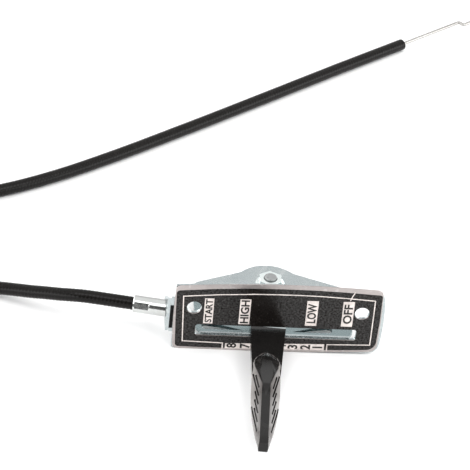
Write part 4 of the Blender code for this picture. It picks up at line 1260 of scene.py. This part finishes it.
    def build(self, others: list[Object]) -> list[Object]:
        """Args:
            others: The separate pieces on the cable. Not used.

        Returns:
            The conduit.
        """
        route = self.route()
        guide = linked("conduit", poly_curve("conduit", [route]))
        modifier = guide.modifiers.new("conduit", "NODES")
        modifier.node_group = conduit_tree()
        vinyl = VINYL.build()
        set_inputs(
            modifier,
            {
                "Radius": self.diameter / 2,
                "Rib Depth": self.rib_depth,
                "Rib Pitch": self.rib_pitch,
                "Step": self.rib_step,
                "Sides": self.sides,
                "Finish": vinyl,
            },
        )
        conduit = settled(guide)
        self.hollow_ends(conduit)
        finished(shaded(conduit, 40), vinyl, Body.CONTROL)
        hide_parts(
            "entry_jacket",
            "conduit_near_run",
            "conduit_coil",
            "conduit_far_run",
            "engine_end_jacket",
        )
        return [conduit]


@dataclass
class CableFittings:
    """The ferrule, the steel liners, the bands round the coil and the inner wire."""

    cable: Cable
    wire_radius: float = 0.9 * MM
    pivot: Pair = (0.0, 37.0)
    rest_turn: float = math.radians(-5.56)
    wire_arm: float = 25.0
    hook_bend: float = 1.6 * MM
    hook_foot: float = 9.0
    hook_lead: float = 6.0
    wire_sag: float = 0.8 * MM
    lever_stations: tuple[float, ...] = (17.5, 10.0, 2.0, -6.0, -14.0)
    engine_reach: float = -15.5
    z_bend: float = 46.0
    z_width: float = 3.6
    z_end: float = 8.5
    z_radius: float = 1.0
    ferrule_radius: float = 4.0
    ferrule_length: float = 14.5
    ferrule_edge: float = 0.3
    ferrule_sides: int = 96
    ferrule_stations: tuple[float, ...] = (
        13.8, 12.0, 10.0, 8.0, 7.4, 7.3, 7.2, 7.1, 7.0, 6.9, 6.6, 4.5, 2.5,
    )
    jacket_bore: float = 3.2
    bore_end: float = 2.8
    wire_bore: float = 1.4
    neck_radius: float = 2.7
    rivet_radius: float = 3.6
    crimp_depth: float = 0.35
    crimp_start: float = 7.0
    crimp_facing: Pair = (math.radians(111), math.radians(291))

    def ferrule_profile(self) -> list[Triple]:
        """Gives the ferrule's closed section: radius, place along the cable, and lean to the ear."""
        body, end, edge = self.ferrule_radius, self.ferrule_length, self.ferrule_edge
        mouth = [(self.jacket_bore, end, 0.0), (body - edge, end, 0.0), (body, end - edge, 0.0)]
        outside = [(body, t, 0.0) for t in self.ferrule_stations]
        at_ear = [(body, 0.15, 1.0), (self.neck_radius, 0.15, 1.0), (self.neck_radius, -2.2, 0.0)]
        rivet = [(self.rivet_radius, -2.2, 0.0), (self.rivet_radius, -3.0, 0.0)]
        bore = [(self.wire_bore, -3.0, 0.0), (self.wire_bore, self.bore_end, 0.0)]
        return mouth + outside + at_ear + rivet + bore + [(self.jacket_bore, self.bore_end, 0.0)]

    def ferrule(self) -> Object:
        """Turns the ferrule, its body leaning flat against the ear, with two crimped flats."""
        frame_here = self.cable.cable_frame()
        tilt = math.tan(self.cable.yaw)
        sides = self.ferrule_sides
        shape = bmesh.new()
        rings = []
        for radius, t, lean in self.ferrule_profile():
            ring = []
            outside = radius > self.rivet_radius
            pressed = min(1.0, max(0.0, (t - self.crimp_start) / 0.3)) if outside else 0.0
            for side in range(sides):
                angle = math.tau * side / sides
                reach = radius
                for facing in self.crimp_facing:
                    flat = self.ferrule_radius - self.crimp_depth
                    flat /= max(0.1, math.cos(angle - facing))
                    reach += pressed * (min(reach, flat) - reach)
                start = t - lean * radius * math.sin(angle) * tilt
                point = Vector((reach * math.cos(angle), reach * math.sin(angle), start)) * MM
                ring.append(shape.verts.new(frame_here @ point))
            rings.append(ring)
        for ring, following in zip(rings, rings[1:] + rings[:1]):
            for side in range(sides):
                after = (side + 1) % sides
                shape.faces.new((ring[side], ring[after], following[after], following[side]))
        bmesh.ops.recalc_face_normals(shape, faces=shape.faces)
        piece = shaded(mesh_object("ferrule_finished", shape), 40)
        finished(piece, BRIGHT_STEEL.build(), Body.CONTROL)
        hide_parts("ferrule")
        return piece

    def lever_wire(self) -> Object:
        """Makes the wire from the ferrule to its hook in the blade, bending between the two."""
        start = self.cable.cable_frame()
        hook_x = self.pivot[0] + self.wire_arm * math.sin(self.rest_turn)
        hook_y = self.pivot[1] - self.wire_arm * math.cos(self.rest_turn)
        straight = [start @ Vector((0, 0, t * MM)) for t in self.lever_stations]
        corner = placed(hook_x, hook_y, self.cable.height)
        before = placed(hook_x - self.hook_lead, hook_y, self.cable.height)
        bend = corner_arc(corner, Vector((1, 0, 0)), Vector((0, 0, -1)), self.hook_bend)
        middle = straight[-1].lerp(before, 0.5) + Vector((0, -self.wire_sag, 0))
        route = smooth_line([*straight, middle, before, bend[0]], 1.5 * MM)
        foot = placed(hook_x, hook_y, self.hook_foot)
        piece = round_wire("inner_wire_lever_end", [*route, *bend[1:], foot], self.wire_radius)
        dress(piece, WIRE_STEEL.build())
        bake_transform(piece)
        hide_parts("wire_lever_end", "wire_hook")
        return piece

    def engine_wire(self) -> Object:
        """Makes the wire at the engine end, with its flat Z bend."""
        stop = self.cable.end_frame()
        outward = (stop.to_3x3() @ Vector((0, 0, 1))).normalized()
        aside = outward.cross(Vector((0, 0, 1)))
        first = stop @ Vector((0, 0, self.z_bend * MM))
        second = first + aside * self.z_width * MM
        route = [
            stop @ Vector((0, 0, self.engine_reach * MM)),
            *corner_arc(first, outward, aside, self.z_radius * MM),
            *corner_arc(second, aside, outward, self.z_radius * MM),
            second + outward * self.z_end * MM,
        ]
        piece = round_wire("inner_wire_engine_end", route, self.wire_radius)
        finished(piece, WIRE_STEEL.build(), Body.ENGINE_WIRE)
        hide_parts("wire_engine_end")
        return piece

    def build(self) -> list[Object]:
        """Builds all the pieces that go on the cable."""
        ferrule = self.ferrule()
        others = carried(
            Body.CONTROL,
            ("entry_liner", 0.1, SPRING_STEEL),
            ("engine_end_liner", 0.1, SPRING_STEEL),
            ("coil_tie_a", 0.15, NYLON),
            ("coil_tie_b", 0.15, NYLON),
        )
        return [ferrule, *others, self.lever_wire(), self.engine_wire()]


@dataclass
class Studio:
    """The floor, the lights and the camera.

    The camera's place is in the control frame's millimetres; the lights are in metres.
    """

    target: Triple = (-23.47, 0.0, 63.61)
    elevation: float = math.radians(34.38)
    azimuth: float = math.radians(-7.15)
    roll: float = math.radians(6.40)
    distance: float = 1055.49
    focal_pixels: float = 2400.0
    sensor: float = 36.0
    floor_colour: float = 0.93
    floor_drop: float = 0.02 * MM
    floor_size: float = 6.0
    lamp_aim: Triple = (0.0, 0.05, 0.0)
    lamp_size: float = 0.8
    lamps: tuple[tuple[str, Triple, float], ...] = (
        ("key", (-0.5, -0.55, 1.35), 5.6),
        ("fill", (0.6, -0.5, 1.25), 7.4),
    )
    sky: tuple[Pair, ...] = ((0.0, 0.95), (1.0, 1.2), (0.25, 0.85), (0.56, 0.95), (0.75, 1.2))
    front_share: float = 0.12
    side_glow: float = 3.6

    def camera(self) -> None:
        """Places the camera at the view of the photograph."""
        back = Vector(
            (
                math.sin(self.azimuth) * math.cos(self.elevation),
                -math.cos(self.azimuth) * math.cos(self.elevation),
                math.sin(self.elevation),
            )
        )
        right = Vector((0, 0, 1)).cross(back).normalized()
        up = back.cross(right)
        across = right * math.cos(self.roll) + up * math.sin(self.roll)
        upwards = up * math.cos(self.roll) - right * math.sin(self.roll)
        place = placed(*self.target) + back * self.distance * MM
        data = bpy.data.cameras.new("camera")
        data.sensor_width = self.sensor
        data.sensor_fit = "HORIZONTAL"
        data.lens = self.focal_pixels / IMAGE_SIZE * self.sensor
        data.clip_start = 0.01
        data.clip_end = 50
        camera = linked("camera", data)
        turned = Matrix((across, upwards, back)).transposed().to_4x4()
        camera.matrix_world = Matrix.Translation(place) @ turned
        bpy.context.scene.camera = camera

    def floor(self) -> None:
        """Makes the plain pale floor, just under the conduit's ribs."""
        shape = bmesh.new()
        bmesh.ops.create_grid(shape, x_segments=2, y_segments=2, size=self.floor_size)
        bmesh.ops.translate(shape, verts=shape.verts, vec=(0, 0, -self.floor_drop))
        floor = mesh_object("floor", shape)
        sheet = Sheet("pale_floor")
        grey = self.floor_colour
        sheet.set(Base_Color=(grey, grey, grey, 1), Roughness=0.9)
        dress(floor, sheet.material)

    def light(self, name: str, place: Triple, power: float) -> None:
        """Adds one soft square light that faces the control, with its power in watts."""
        data = bpy.data.lights.new(name, "AREA")
        data.energy = power
        data.size = self.lamp_size
        lamp = linked(name, data)
        lamp.location = place
        beam = Vector(self.lamp_aim) - Vector(place)
        lamp.rotation_euler = beam.to_track_quat("-Z", "Y").to_euler()

    def surroundings(self) -> None:
        """Lights the scene from all round: a dim front, and a glow low at the two sides."""
        world = bpy.data.worlds.new("studio")
        bpy.context.scene.world = world
        world.use_nodes = True
        sky = Graph(world.node_tree)
        across = sky.split(sky.add("ShaderNodeTexCoord").outputs["Generated"])
        ramp = sky.add("ShaderNodeValToRGB", {"Fac": across["Z"]})
        ramp.color_ramp.interpolation = "EASE"
        stops = ramp.color_ramp.elements
        for index, (position, level) in enumerate(self.sky):
            stop = stops[index] if index < 2 else stops.new(position)
            stop.position = position
            stop.color = (level, level, level, 1)
        aside = sky.step(sky.math("ABSOLUTE", across["X"]), 0.3, 0.5)
        low = sky.step(across["Z"], 0.5, 0.2)
        glow = sky.product(aside, low, self.side_glow)
        front = sky.step(across["Y"], -0.75, -0.15, self.front_share, 1.0)
        inputs = {0: ramp.outputs["Color"], "Scale": front}
        dome = sky.add("ShaderNodeVectorMath", inputs, operation="SCALE").outputs["Vector"]
        total = sky.add("ShaderNodeVectorMath", {0: dome, 1: glow}, operation="ADD")
        background = sky.tree.nodes["Background"]
        background.inputs["Strength"].default_value = 1.0
        sky.tree.links.new(total.outputs["Vector"], background.inputs["Color"])

    def build(self) -> None:
        """Builds the whole studio."""
        self.camera()
        self.floor()
        self.surroundings()
        for name, place, power in self.lamps:
            self.light(name, place, power)
        view = bpy.context.scene.view_settings
        view.view_transform = "Standard"
        view.look = "None"


def report(name: str, made: list[Object]) -> None:
    """Logs the pieces that a sub-assembly made."""
    for piece in made:
        log.info("%s: %s, %d faces", name, piece.name, len(piece.data.polygons))


def main() -> None:
    """Builds the studio and every sub-assembly."""
    logging.basicConfig(level=logging.INFO, format="%(name)s %(message)s")
    Studio().build()
    cable = Cable()
    fittings = CableFittings(cable).build()
    report("fittings", fittings)
    report("cable", cable.build(fittings))
    report("housing", Housing().build())
    report("label", Label().build())
    report("lever", Lever().build())
    report("pivot", PivotStack().build())


if __name__ == "__main__":
    main()
